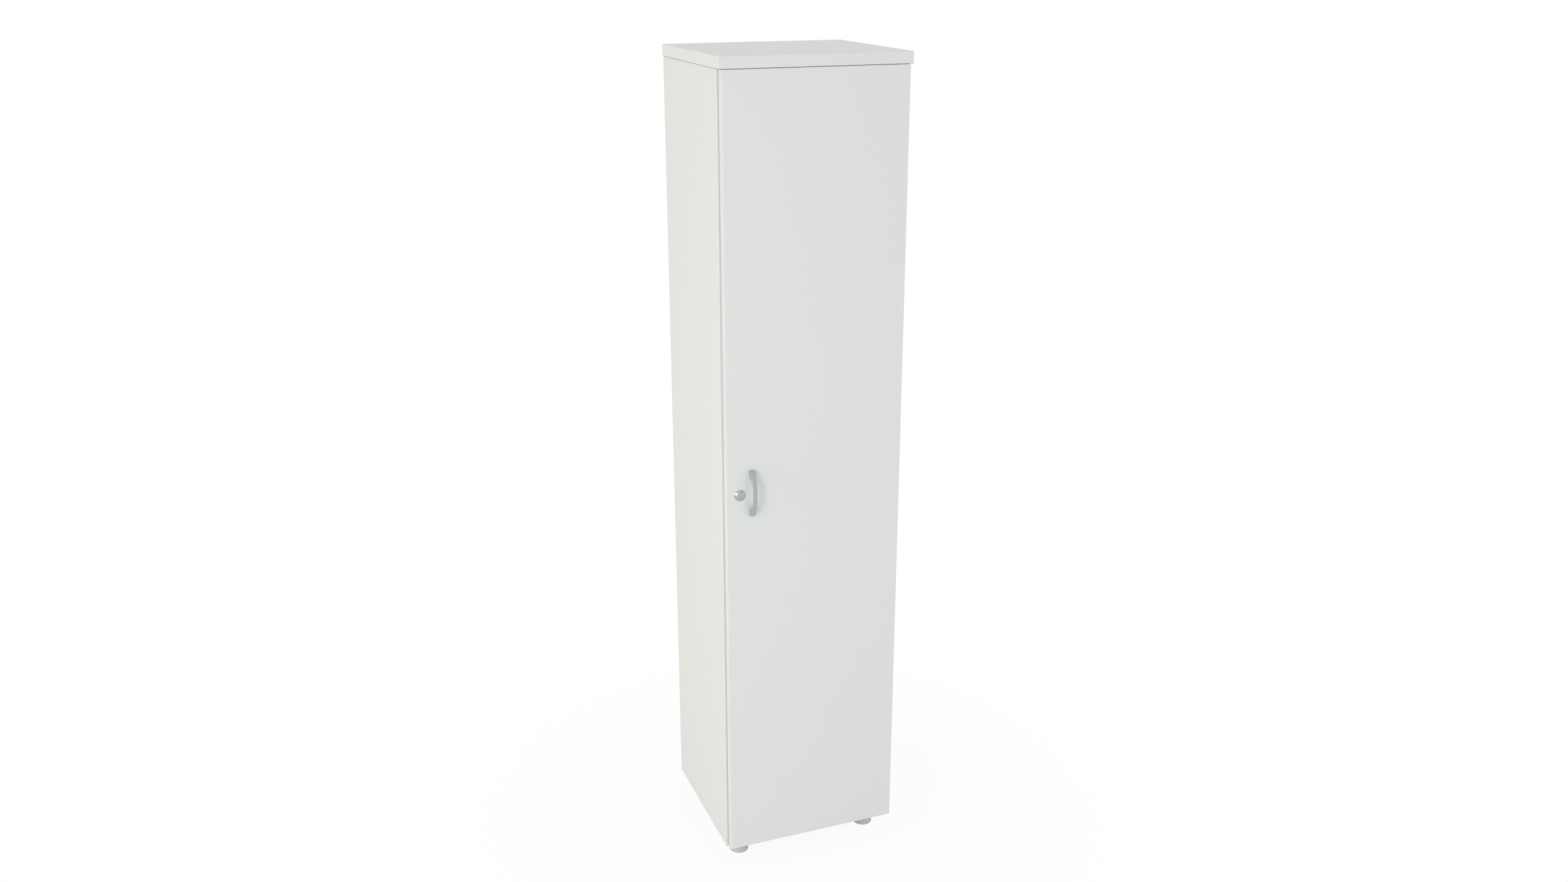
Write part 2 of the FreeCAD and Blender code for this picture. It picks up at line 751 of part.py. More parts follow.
def make_door():
    spot = ("0", "door_back", "door_low")
    body = keep(new_body("door_panel"), "door_panel")
    x = ("-(door_half - edging)", "door_half - edging")
    pad(body, rectangle(sketch_on(body, "XY_Plane", "edging"), *x, "-board", "0"), "door_height - 2 * edging")
    heights = [f"{height} - door_low" for height in hinge_heights]
    cups = [("cup_across", height, "cup_diameter + 2 * fit") for height in heights]
    drill(body, "XZ_Plane", "0", "cup_depth + fit", cups, True)
    pilots = [
        ("cup_across - cup_screw_offset", f"{height} {sign} cup_screw_spacing / 2", "small_screw + 2 * fit")
        for height in heights
        for sign in "-+"
    ]
    drill(body, "XZ_Plane", "0", "small_screw_depth + fit", pilots, True)
    holes = [("lock_across", "lock_height - door_low", "lock_barrel + 2 * fit")]
    holes += [
        ("handle_across", f"handle_height - door_low {sign} handle_spacing / 2", "handle_screw + 2 * fit")
        for sign in "-+"
    ]
    drill(body, "XZ_Plane", "-overrun", "board + 2 * overrun", holes, True)
    place(body, *spot)
    y = ("-board", "0")
    across = ("-door_half", "door_half")
    upright = ("0", "door_height")
    strips = [
        strip("door_edging_left", (across[0], x[0]), y, upright, ("x", across[0])),
        strip("door_edging_right", (x[1], across[1]), y, upright, ("x", across[1])),
        strip("door_edging_low", x, y, ("0", "edging"), ("z", "0"), "x"),
        strip("door_edging_high", x, y, ("door_height - edging", "door_height"), ("z", "door_height"), "x"),
    ]
    group("door_edging", [place(piece, *spot) for piece in strips])


def make_cup(index, height):
    """Hinge cup with its screw flange, cut flat beside the door's edge, and two ears that hold the pin."""
    cup = keep(new_body(f"hinge_cup_{index}"), f"hinge_cup_{index}")
    pad(cup, circle(sketch_on(cup, "XZ_Plane"), "0", "0", "cup_diameter"), "cup_depth")
    pad(cup, circle(sketch_on(cup, "XZ_Plane"), "0", "0", "cup_flange"), "cup_flange_thickness", True)
    wing = sketch_on(cup, "XZ_Plane")
    wing_x = ("-cup_screw_offset - cup_wing / 2", "-cup_screw_offset + cup_wing / 2")
    wing_z = "cup_screw_spacing / 2 + cup_wing / 2"
    rectangle(wing, *wing_x, f"-({wing_z})", wing_z)
    pad(cup, wing, "cup_flange_thickness", True)
    tips = [(number(x), number(f"{sign}({wing_z})")) for x in wing_x for sign in hands]
    round_edges(cup, "wing_corner", lambda edge: any(lies_at(edge, x=x, z=z) for x, z in tips))
    flat = sketch_on(cup, "XZ_Plane", "-cup_flange_thickness")
    rectangle(flat, "cup_diameter / 2", "cup_flange / 2 + overrun", "-cup_flange / 2", "cup_flange / 2")
    pocket(cup, flat, "cup_flange_thickness", True)
    bore = [("0", "0", "cup_diameter - 2 * cup_wall")]
    bore_depth = "cup_flange_thickness + cup_depth - cup_floor"
    drill(cup, "XZ_Plane", "-cup_flange_thickness", bore_depth, bore, True)
    ear_low = "arm_width / 2 + ear_clearance"
    for sign in hands:
        ear = sketch_on(cup, "XZ_Plane", "cup_depth - cup_ear_depth")
        near, far = f"{sign}({ear_low})", f"{sign}({ear_low} + cup_ear)"
        low, high = (far, near) if sign else (near, far)
        rectangle(ear, "pivot_in_cup - pivot_pin", "pivot_in_cup + pivot_pin / 2", low, high)
        pad(cup, ear, "cup_ear_depth")
    pin = [("pivot_in_cup", "-pivot_depth", "pivot_pin + 2 * running_fit")]
    drill(cup, "XY_Plane", f"{ear_low} + cup_ear + overrun", f"2 * ({ear_low} + cup_ear + overrun)", pin)
    screw_z = "cup_screw_spacing / 2"
    holes = [("-cup_screw_offset", f"{sign}{screw_z}", "small_screw + 2 * fit") for sign in hands]
    drill(cup, "XZ_Plane", "-cup_flange_thickness", "cup_flange_thickness", holes, True)
    place(cup, "cup_across", "door_back", height)


def make_arm(index, height):
    """Hooked arm: eye on the pin, elbow in the cup's mouth, body on the plate."""
    arm = keep(new_body(f"hinge_arm_{index}"), f"hinge_arm_{index}")
    half = "arm_thickness / 2"
    outside, inside = "-arm_drop", "-(arm_drop + arm_thickness)"
    end = "arm_front + arm_reach"
    hook = sketch_on(arm, "XY_Plane", "-arm_width / 2")
    outline(hook, [
        ("0", f"-{half}"), ("0", half), (outside, half), (outside, end), (inside, end), (inside, f"-{half}"),
    ])
    pad(arm, hook, "arm_width")
    low, high = -number(half), number(half)
    elbows = ((number(inside), low), (number(outside), high))
    round_edges(arm, "arm_bend", lambda edge: any(lies_at(edge, x=x, y=y) for x, y in elbows))
    pad(arm, circle(sketch_on(arm, "XY_Plane", "-arm_width / 2"), "0", "0", "pivot_eye"), "arm_width")
    channel = sketch_on(arm, "XY_Plane", "-arm_body_width / 2")
    rectangle(channel, "-(arm_drop + arm_body_depth)", outside, "arm_front + arm_body_start", end)
    pad(arm, channel, "arm_body_width")
    corners = [(number(end), number(f"{sign}arm_body_width / 2")) for sign in hands]
    round_edges(arm, "arm_corner", lambda edge: any(lies_at(edge, y=y, z=z) for y, z in corners))
    eye = [("0", "0", "pivot_pin + 2 * running_fit")]
    drill(arm, "XY_Plane", "arm_width / 2 + overrun", "arm_width + 2 * overrun", eye)
    screw = [("arm_front + arm_screw_place", "0", "arm_screw + 2 * fit")]
    drill(arm, "YZ_Plane", "-arm_drop + overrun", "arm_body_depth + 2 * overrun", screw)
    place(arm, "pivot_across", "door_back - pivot_depth", height)


def make_plate(index, height):
    plate = keep(new_body(f"hinge_plate_{index}"), f"hinge_plate_{index}")
    base_z = "plate_screw_spacing / 2 + plate_end"
    base = sketch_on(plate, "XY_Plane", f"-({base_z})")
    base_y = ("plate_setback - plate_depth / 2", "plate_setback + plate_depth / 2")
    rectangle(base, "-plate_base", "0", *base_y)
    pad(plate, base, f"2 * ({base_z})")
    tips = [(number(y), number(f"{sign}({base_z})")) for y in base_y for sign in hands]
    round_edges(plate, "plate_corner", lambda edge: any(lies_at(edge, y=y, z=z) for y, z in tips))
    rib = sketch_on(plate, "XY_Plane", "-rib_width / 2")
    rectangle(rib, "-plate_height", "0", "rib_start", "rib_start + rib_length")
    pad(plate, rib, "rib_width")
    holes = [
        ("plate_setback", f"{sign}plate_screw_spacing / 2", "plate_screw + 2 * fit")
        for sign in hands
    ]
    drill(plate, "YZ_Plane", "overrun", "plate_base + 2 * overrun", holes)
    screw = [("arm_screw_place", "0", "arm_screw + 2 * fit")]
    drill(plate, "YZ_Plane", "overrun", "plate_height + 2 * overrun", screw)
    place(plate, "inner_half", "side_front", height)


def make_hinges():
    for index, height in enumerate(hinge_heights, 1):
        make_cup(index, height)
        make_arm(index, height)
        make_plate(index, height)
    pin = doc.addObject("Part::Cylinder", "hinge_pins_one")
    pin_half = "arm_width / 2 + ear_clearance + cup_ear"
    bind(pin, "Radius", "pivot_pin / 2")
    bind(pin, "Height", f"2 * ({pin_half})")
    pin_lows = [f"{height} - ({pin_half})" for height in hinge_heights]
    group("hinge_pins", repeat(pin, [("pivot_across", "door_back - pivot_depth", z) for z in pin_lows]))
    cup_spots, plate_spots, arm_spots = [], [], []
    for height in hinge_heights:
        for sign in "-+":
            x, y = "cup_across - cup_screw_offset", "door_back + cup_flange_thickness"
            cup_spots.append((x, y, f"{height} {sign} cup_screw_spacing / 2", face_back))
            x, y = "inner_half - plate_base", "side_front + plate_setback"
            plate_spots.append((x, y, f"{height} {sign} plate_screw_spacing / 2", face_left))
        x, y = "arm_outside - arm_body_depth", "side_front + arm_screw_place"
        arm_spots.append((x, y, height, face_left))
    cup_length = "cup_flange_thickness + small_screw_depth"
    screws("hinge_cup_screws", "small_screw", cup_length, "small_screw_head", cup_spots)
    plate_length = "plate_base + plate_screw_depth"
    screws("hinge_plate_screws", "plate_screw", plate_length, "plate_screw_head", plate_spots)
    arm_length = "arm_body_depth + plate_height - screw_end_gap"
    screws("hinge_arm_screws", "arm_screw", arm_length, "arm_screw_head", arm_spots)


def make_handle():
    """Bow handle: an arched bar that widens into deep ends, screwed on from behind the door."""
    body = keep(new_body("handle"), "handle")
    side = sketch_on(body, "YZ_Plane", "-handle_end / 2")
    half = "handle_length / 2"
    bar = "-(handle_projection - handle_bar)"
    outline(side, [
        ("0", half), ("-handle_end_depth", half, "handle_radius", "-handle_projection", "0"),
        ("-handle_end_depth", f"-{half}"), ("0", f"-{half}"), ("0", "-handle_root"),
        ("-throat_depth", "-handle_throat", "throat_radius", bar, "0"),
        ("-throat_depth", "handle_throat"), ("0", "handle_root"),
    ])
    pad(body, side, "handle_end")
    for sign in hands:
        waist = sketch_on(body, "XZ_Plane", "-overrun")
        edge, outer = f"{sign}handle_end / 2", f"{sign}(handle_end / 2 + overrun)"
        outline(waist, [
            (edge, half, "waist_radius", f"{sign}handle_waist / 2", "0"), (edge, f"-{half}"),
            (outer, f"-{half}"), (outer, half),
        ])
        pocket(body, waist, "handle_projection + 2 * overrun", True)
    length, depth = number(half), number("handle_end_depth")
    ends = [(-depth, length), (-depth, -length)]
    round_edges(body, "handle_corner", lambda edge: any(lies_at(edge, y=y, z=z) for y, z in ends))
    throat, inner = number("throat_depth"), number("handle_throat")
    throats = [(-throat, inner), (-throat, -inner)]
    round_edges(body, "handle_throat_round", lambda edge: any(lies_at(edge, y=y, z=z) for y, z in throats))
    narrow = number("handle_waist / 2")
    round_edges(body, "handle_arris", lambda edge: edge.BoundBox.XLength < narrow and not lies_at(edge, y=0))
    screw_z = "handle_spacing / 2"
    holes = [("0", f"{sign}{screw_z}", "handle_screw + 2 * fit") for sign in hands]
    drill(body, "XZ_Plane", "0", "handle_screw_reach + fit", holes, True)
    place(body, "handle_across", "door_front", "handle_height")
    spots = [("handle_across", "door_back", f"handle_height {sign} {screw_z}", face_back) for sign in "-+"]
    screws("handle_screws", "handle_screw", "board + handle_screw_reach", "handle_screw_head", spots)


def make_lock():
    """Cam lock: housing and nut on the door, plug, lever and screw that turn together."""
    spot = ("lock_across", "door_front", "lock_height", face_front)
    housing = keep(new_body("lock_housing"), "lock_housing")
    bore = "lock_plug / 2 + running_fit"
    spin(housing, [
        (bore, "-lock_back"), ("lock_barrel / 2", "-lock_back"), ("lock_barrel / 2", "0"),
        ("lock_flange / 2", "0"), ("lock_flange / 2", "lock_flange_thickness - lock_bevel"),
        ("lock_flange / 2 - lock_bevel_width", "lock_flange_thickness"), (bore, "lock_flange_thickness"),
    ])
    place(housing, *spot)
    nut = keep(new_body("lock_nut"), "lock_nut")
    hexagon = sketch_on(nut, "XY_Plane", "-(board + nut_thickness)")
    flat, point, slope = "nut_flats / 2", "nut_flats / sqrt(3)", "nut_flats / (2 * sqrt(3))"
    outline(hexagon, [
        ("0", f"-{point}"), (flat, f"-{slope}"), (flat, slope),
        ("0", point), (f"-{flat}", slope), (f"-{flat}", f"-{slope}"),
    ])
    circle(hexagon, "0", "0", "lock_barrel + 2 * fit")
    pad(nut, hexagon, "nut_thickness")
    place(nut, *spot)
    plug = keep(new_body("lock_plug"), "lock_plug")
    face = "lock_flange_thickness - plug_recess"
    spin(plug, [
        ("0", "-lever_front"), ("lock_plug / 2", "-lever_front"), ("lock_plug / 2", face), ("0", face),
    ])
    key = sketch_on(plug, "XY_Plane", face)
    rectangle(key, "-key_slot_width / 2", "key_slot_width / 2", "-key_slot_height / 2", "key_slot_height / 2")
    pocket(plug, key, "key_slot_depth")
    square = "lever_square / 2"
    tenon = sketch_on(plug, "XY_Plane", "-lever_front")
    pad(plug, rectangle(tenon, f"-{square}", square, f"-{square}", square), "lever_thickness", True)
    thread = [("0", "0", "lever_screw + 2 * fit")]
    drill(plug, "XY_Plane", "-lever_back", "lever_screw_reach + fit", thread, True)
    place(plug, *spot)
    lever = keep(new_body("lock_lever"), "lock_lever")
    hub, tip = "lever_hub / 2", "lever_tip / 2"
    pad(lever, circle(sketch_on(lever, "XY_Plane", "-lever_back"), "0", "0", "lever_hub"), "lever_thickness")
    blade = sketch_on(lever, "XY_Plane", "-lever_back")
    outline(blade, [(f"-{hub}", "0"), (f"-{tip}", "-lever_length"), (tip, "-lever_length"), (hub, "0")])
    pad(lever, blade, "lever_thickness")
    eye = f"{square} + fit"
    opening = rectangle(sketch_on(lever, "XY_Plane", "-lever_front"), f"-({eye})", eye, f"-({eye})", eye)
    pocket(lever, opening, "lever_thickness")
    place(lever, *spot)
    screw_spot = [("lock_across", "door_front + lever_back", "lock_height", face_back)]
    screws("lock_lever_screw", "lever_screw", "lever_screw_reach", "lever_screw_head", screw_spot)


def make_catch():
    """Angle plate on the left side, in front of the lever when that is turned to lock."""
    catch = keep(new_body("lock_catch"), "lock_catch")
    shape = sketch_on(catch, "XY_Plane", "-catch_height / 2")
    leg, end = "catch_front + catch_thickness", "catch_front + catch_length"
    outline(shape, [
        ("0", "catch_front"), ("catch_reach", "catch_front"), ("catch_reach", leg), ("catch_thickness", leg),
        ("catch_thickness", end), ("0", end),
    ])
    pad(catch, shape, "catch_height")
    tips = [number(f"{sign}catch_height / 2") for sign in hands]
    ends = [{axis: number(level), "z": z} for axis, level in (("y", end), ("x", "catch_reach")) for z in tips]
    round_edges(catch, "catch_corner", lambda edge: any(lies_at(edge, **levels) for levels in ends))
    y = "catch_front + catch_screw_inset"
    holes = [(y, f"{sign}catch_screw_spacing / 2", "small_screw + 2 * fit") for sign in hands]
    drill(catch, "YZ_Plane", "catch_thickness + overrun", "catch_thickness + 2 * overrun", holes)
    place(catch, "-inner_half", "door_back", "lock_height")
    levels = [f"lock_height {sign} catch_screw_spacing / 2" for sign in "-+"]
    spots = [("catch_thickness - inner_half", f"door_back + {y}", z, face_right) for z in levels]
    length = "catch_thickness + small_screw_depth"
    screws("lock_catch_screws", "small_screw", length, "small_screw_head", spots)


def make_buffers():
    one = new_body("door_buffers_one")
    top = "door_gap - buffer_clearance"
    spin(one, [("0", "0"), ("buffer_diameter / 2", "0"), ("buffer_diameter / 2", top), ("0", top)])
    rim, level = number("buffer_diameter / 2"), number(top)
    round_edges(one, "buffer_round", lambda edge: lies_at(edge, z=level) and edge.BoundBox.XMax > rim - eps)
    heights = ("deck + buffer_margin", "ceiling - buffer_margin")
    group("door_buffers", repeat(one, [("-side_middle", "side_front", z, face_front) for z in heights]))


def make_hooks():
    """Broom hooks on the back panel, under the shelf."""
    for index, x in enumerate(hook_places, 1):
        hook = keep(new_body(f"broom_hook_{index}"), f"broom_hook_{index}")
        plate = sketch_on(hook, "XZ_Plane")
        half_x, half_z = "hook_plate_width / 2", "hook_plate_height / 2"
        rectangle(plate, f"-{half_x}", half_x, f"-{half_z}", half_z)
        pad(hook, plate, "hook_plate_thickness")
        round_edges(hook, "hook_plate_round", lambda edge: edge.BoundBox.YLength > eps)
        arm = sketch_on(hook, "YZ_Plane", "-hook_width / 2")
        wall, front, inside = "-hook_plate_thickness", "-hook_reach", "hook_bar - hook_reach"
        top, tip = "hook_base + hook_bar", "hook_base + hook_tip"
        outline(arm, [
            (wall, "hook_base"), (front, "hook_base"), (front, tip),
            (inside, tip), (inside, top), (wall, top),
        ])
        pad(hook, arm, "hook_width")
        bends = [(number(front), number("hook_base")), (number(inside), number(top))]
        round_edges(hook, "hook_bend", lambda edge: any(lies_at(edge, y=y, z=z) for y, z in bends))
        holes = [("0", f"{sign}hook_screw_spacing / 2", "small_screw + 2 * fit") for sign in hands]
        drill(hook, "XZ_Plane", "-overrun", "hook_plate_thickness + 2 * overrun", holes, True)
        place(hook, x, "panel_front", "hook_height")
    spots = [
        (x, "panel_front - hook_plate_thickness", f"hook_height {sign} hook_screw_spacing / 2", face_front)
        for x in hook_places
        for sign in "-+"
    ]
    length = "hook_plate_thickness + hook_screw_depth"
    screws("broom_hook_screws", "small_screw", length, "small_screw_head", spots)


def make_bracket():
    """Angle bracket under the top, with a hole through its back leg for a screw into the wall."""
    bracket = keep(new_body("wall_bracket"), "wall_bracket")
    shape = sketch_on(bracket, "YZ_Plane", "-bracket_width / 2")
    outline(shape, [
        ("0", "0"), ("-bracket_leg", "0"), ("-bracket_leg", "-bracket_thickness"),
        ("-bracket_thickness", "-bracket_thickness"), ("-bracket_thickness", "-bracket_leg"),
        ("0", "-bracket_leg"),
    ])
    pad(bracket, shape, "bracket_width")
    sides, leg = [number(f"{sign}bracket_width / 2") for sign in hands], number("-bracket_leg")
    ends = [{"x": x, axis: leg} for x in sides for axis in "yz"]
    round_edges(bracket, "bracket_corner", lambda edge: any(lies_at(edge, **levels) for levels in ends))
    holes = [
        (f"{sign}bracket_screw_spacing / 2", "-bracket_screw_inset", "small_screw + 2 * fit")
        for sign in hands
    ]
    drill(bracket, "XY_Plane", "overrun", "bracket_thickness + 2 * overrun", holes)
    wall = [("0", "-bracket_hole_drop", "bracket_hole")]
    drill(bracket, "XZ_Plane", "bracket_thickness + overrun", "bracket_thickness + 2 * overrun", wall)
    place(bracket, "0", "panel_front", "ceiling")
    y, z = "panel_front - bracket_screw_inset", "ceiling - bracket_thickness"
    spots = [(f"{sign}bracket_screw_spacing / 2", y, z, face_down) for sign in hands]
    length = "bracket_thickness + small_screw_depth"
    screws("wall_bracket_screws", "small_screw", length, "small_screw_head", spots)


hinge_heights = [
    f"(door_low + hinge_margin + {index} * (door_height - 2 * hinge_margin) / {hinge_count - 1})"
    for index in range(hinge_count)
]
hook_places = [f"({index} - {hook_count - 1} / 2) * hook_spacing" for index in range(hook_count)]

make_top()
make_bottom()
make_side("left_side", "-")
make_side("right_side", "")
make_side_edging()
make_back()
make_shelf()
make_connectors()
make_feet()
make_door()
make_hinges()
make_handle()
make_lock()
make_catch()
make_buffers()
make_hooks()
make_bracket()
doc.recompute()

for item in doc.Objects:
    if "Invalid" in item.State or "Error" in item.State:
        raise ValueError(f"{item.Label} did not build: {item.State}")
for item in node_objects:
    if item.Shape.isNull() or not item.Shape.isValid() or not item.Shape.Solids:
        raise ValueError(f"{item.Label} has no valid solid")

os.makedirs("parts", exist_ok=True)
for item in node_objects:
    item.Shape.exportStep(f"parts/{item.Label}.step")
print(len(node_objects), "nodes")
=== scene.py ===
import json
import math

import bmesh
import bpy
from mathutils import Matrix, Vector


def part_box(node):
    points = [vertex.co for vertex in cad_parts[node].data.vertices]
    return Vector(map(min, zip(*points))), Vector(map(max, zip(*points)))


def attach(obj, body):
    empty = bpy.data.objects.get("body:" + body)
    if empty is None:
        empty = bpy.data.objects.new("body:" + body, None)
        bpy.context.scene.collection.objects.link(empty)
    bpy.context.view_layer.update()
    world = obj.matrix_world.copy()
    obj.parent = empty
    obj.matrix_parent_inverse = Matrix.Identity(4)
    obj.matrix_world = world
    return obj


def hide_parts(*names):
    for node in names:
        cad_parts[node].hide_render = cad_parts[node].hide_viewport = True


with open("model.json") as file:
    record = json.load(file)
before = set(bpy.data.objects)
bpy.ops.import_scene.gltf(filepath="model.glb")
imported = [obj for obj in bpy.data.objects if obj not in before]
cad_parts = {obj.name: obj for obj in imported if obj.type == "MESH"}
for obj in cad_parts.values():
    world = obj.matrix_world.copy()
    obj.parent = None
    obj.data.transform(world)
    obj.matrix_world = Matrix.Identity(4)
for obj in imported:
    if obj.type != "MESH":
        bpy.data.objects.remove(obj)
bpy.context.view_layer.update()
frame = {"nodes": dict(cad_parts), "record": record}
nodes = frame["nodes"]
record = frame["record"]
slotOf = {part["node"]: part["material_slot"] for part in record["subparts"]}
bodyOf = {node: body for body, members in record["behaviour"]["bodies"].items() for node in members}
scene = bpy.context.scene
scene.view_settings.view_transform = "Standard"

# how fine each kind of noise is, and the value that noise lies about
noiseDetail = {"soft": 2.0, "plain": 3.0, "rich": 4.0, "busy": 5.0}
noiseMiddle = 0.5


# a socket that takes part in sums: each sign adds a Math node
class Wire:
    def __init__(self, sheet, socket):
        self.sheet, self.socket = sheet, socket

    def also(self, name):
        return Wire(self.sheet, self.socket.node.outputs[name])

    def math(self, operation, first, second=0.0):
        return self.sheet.add("ShaderNodeMath", {"operation": operation}, {0: first, 1: second})

    def __add__(self, other):
        return self.math("ADD", self, other)

    def __sub__(self, other):
        return self.math("SUBTRACT", self, other)

    def __rsub__(self, other):
        return self.math("SUBTRACT", other, self)

    def __mul__(self, other):
        return self.math("MULTIPLY", self, other)

    def __truediv__(self, other):
        return self.math("DIVIDE", self, other)

    def __gt__(self, other):
        return self.math("GREATER_THAN", self, other)

    def __abs__(self):
        return self.math("ABSOLUTE", self)

    __radd__ = __add__
    __rmul__ = __mul__


# one node tree, of a finish, the world or a geometry rule
class NodeSheet:
    def __init__(self, tree):
        self.tree = tree

    def add(self, kind, settings, sockets, out=0):
        node = self.tree.nodes.new(kind)
        for name, value in settings.items():
            if name == "stops":
                ramp = node.color_ramp.elements
                while len(ramp) < len(value):
                    ramp.new(1.0)
                for element, (position, colour) in zip(ramp, value):
                    element.position, element.color = position, colour
            elif name == "curve":
                points = node.mapping.curves[0].points
                while len(points) < len(value):
                    points.new(1.0, 1.0)
                for point, spot in zip(points, value):
                    point.location, point.handle_type = spot, "VECTOR"
                node.mapping.update()
            else:
                setattr(node, name, value)
        for key, value in sockets.items():
            for one in value if isinstance(value, list) else [value]:  # a list feeds a socket of many links
                self.feed(node.inputs[key], one)
        return Wire(self, node.outputs[out]) if node.outputs else node

    def feed(self, socket, value):
        if isinstance(value, Wire):
            self.tree.links.new(value.socket, socket)
        else:
            socket.default_value = value

    # the place on the object, measured from a centre in units of this size
    def spot(self, size=(1, 1, 1), centre=(0, 0, 0)):
        place = self.add("ShaderNodeTexCoord", {}, {}, "Object")
        sockets = {"Vector": place, "Location": centre, "Scale": size}
        return self.add("ShaderNodeMapping", {"vector_type": "TEXTURE"}, sockets)

    # noise whose lumps are about this size, in metres
    def noise(self, size, detail):
        size = size if isinstance(size, tuple) else (size, size, size)
        sockets = {"Vector": self.spot(size), "Scale": 1.0, "Detail": noiseDetail[detail]}
        return self.add("ShaderNodeTexNoise", {}, sockets)

    # noise as a swing to both sides of nought
    def swing(self, noise, spread):
        return (noise - noiseMiddle) * spread

    # sockets 6, 7 and 2 are the colours of a Mix node
    def blend(self, share, first, second):
        return self.add("ShaderNodeMix", {"data_type": "RGBA"}, {0: share, 6: first, 7: second}, 2)

    # 0 to 1 as the value goes from low to high
    def step(self, value, low, high):
        sockets = {"Value": value, "From Min": low, "From Max": high}
        return self.add("ShaderNodeMapRange", {"interpolation_type": "SMOOTHSTEP"}, sockets)

    def distance(self, first, second):
        return self.add("ShaderNodeVectorMath", {"operation": "DISTANCE"}, {0: first, 1: second}, "Value")

    def bump(self, height, depth):
        return self.add("ShaderNodeBump", {}, {"Height": height, "Distance": depth})

    def wear(self, **sockets):
        names = {"colour": "Base Color", "roughness": "Roughness", "normal": "Normal"}
        for key, value in sockets.items():
            self.feed(self.shader.inputs[names[key]], value)


def newFinish(name, constants):
    material = bpy.data.materials.new(name)
    material.use_nodes = True
    sheet = NodeSheet(material.node_tree)
    sheet.material = material
    sheet.shader = material.node_tree.nodes["Principled BSDF"]
    for key, value in constants.items():
        sheet.shader.inputs[key].default_value = value
    return sheet


# melamine-faced board: fine pearl in the surface, hardly any cloud in the white
def boardFinish(name, look):
    sheet = newFinish(name, {"IOR": look["ior"]})
    cloud = sheet.noise(look["cloud"], "rich")
    pearl = sheet.noise(look["pearl"], "plain")
    colour = sheet.blend(cloud, look["shade"], look["colour"])
    roughness = look["roughness"] + sheet.swing(pearl, look["spread"]) + sheet.swing(cloud, look["spread"])
    if "touch" in look:  # hands leave the door a little glossier and greyer round the handle
        away = sheet.distance(sheet.spot(look["reach"], look["touch"]), (0, 0, 0))
        near = 1 - sheet.step(away, *look["touchFade"])
        smear = near * sheet.step(sheet.noise(look["smear"], "busy"), *look["smearBand"])
        colour = sheet.blend(smear * look["grime"], colour, look["grimeColour"])
        roughness = roughness - smear * look["polish"]
    if "raw" in look:  # saw-cut sides and back edge show the chips
        colour, roughness = rawEdges(sheet, look, colour, roughness)
    # the joints get dust and painted shade
    if "dustAndShadeInSeams" in look:
        colour = dustAndShadeSeams(sheet, look["dustAndShadeInSeams"], colour)
    sheet.wear(colour=colour, roughness=roughness, normal=sheet.bump(pearl, look["pearlDepth"]))
    return sheet.material


# dust and painted shade in the joints which show on the outside of the carcass: the seams are darkened both
# as dust and as the shade that falls in them
topSeam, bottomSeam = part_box("right_side")[1].z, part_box("right_side")[0].z
seamDustAndShadeLook = {
    "outerFace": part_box("right_side")[1].x, "frontEdge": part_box("side_edging")[0].y,
    "outerBand": (0.003, 0.001), "frontBand": (0.0035, 0.002),  # depths between which the dust and painted shade fade in
    # the dust colour is both the dust and the painted shade in the seams
    "dust": (0.26, 0.275, 0.275, 1), "mottle": 0.004, "mottleMiddle": 0.75, "mottleSpread": 0.5,
    "lines": [
        {"height": topSeam, "reach": (0.0003, 0.0014), "strength": 0.80},
        {"height": bottomSeam, "reach": (0.0002, 0.0010), "strength": 0.22},
    ],
    "notches": [
        {"height": topSeam, "reach": (0.0004, 0.0016), "strength": 0.75},
        {"height": bottomSeam, "reach": (0.0004, 0.0013), "strength": 0.80},
    ],
}


# darkens thin lines along the joints and notches at the front edge: partly dust, partly painted shade where
# the joints lie in shadow
def dustAndShadeSeams(sheet, look, colour):
    across = sheet.add("ShaderNodeSeparateXYZ", {}, {"Vector": sheet.spot()})
    outside = sheet.step(abs(across), *(look["outerFace"] - deep for deep in look["outerBand"]))
    front = sheet.step(across.also("Y"), *(look["frontEdge"] + deep for deep in look["frontBand"]))
    mottle = look["mottleMiddle"] + sheet.swing(sheet.noise(look["mottle"], "plain"), look["mottleSpread"])
    for places, where in ((look["lines"], outside), (look["notches"], front)):
        for seam in places:
            near = 1 - sheet.step(abs(across.also("Z") - seam["height"]), *seam["reach"])
            colour = sheet.blend(near * where * mottle * seam["strength"], colour, look["dust"])
    return colour


chipLook = {
    "size": 0.0026, "dust": 0.0007, "chipShare": 0.7, "roughness": 0.85, "skin": 0.0002,
    "stops": [(0.0, (0.30, 0.20, 0.11, 1)), (0.45, (0.47, 0.34, 0.20, 1)), (1.0, (0.66, 0.52, 0.35, 1))],
}


def rawEdges(sheet, look, colour, roughness):
    across = sheet.add("ShaderNodeSeparateXYZ", {}, {"Vector": sheet.spot()})
    sides, back = (limit - chipLook["skin"] for limit in look["raw"])
    raw = across.math("MAXIMUM", abs(across) > sides, across.also("Y") > back)
    size, share = chipLook["size"], chipLook["chipShare"]
    place = sheet.spot((size, size, size))
    cells = sheet.add("ShaderNodeTexVoronoi", {}, {"Vector": place, "Scale": 1.0}, "Color")
    dust = sheet.noise(chipLook["dust"], "plain")
    chip = sheet.add("ShaderNodeSeparateColor", {}, {"Color": cells}) * share + dust * (1 - share)
    wood = sheet.add("ShaderNodeValToRGB", {"stops": chipLook["stops"]}, {"Fac": chip})
    return sheet.blend(raw, colour, wood), roughness + raw * (chipLook["roughness"] - look["roughness"])


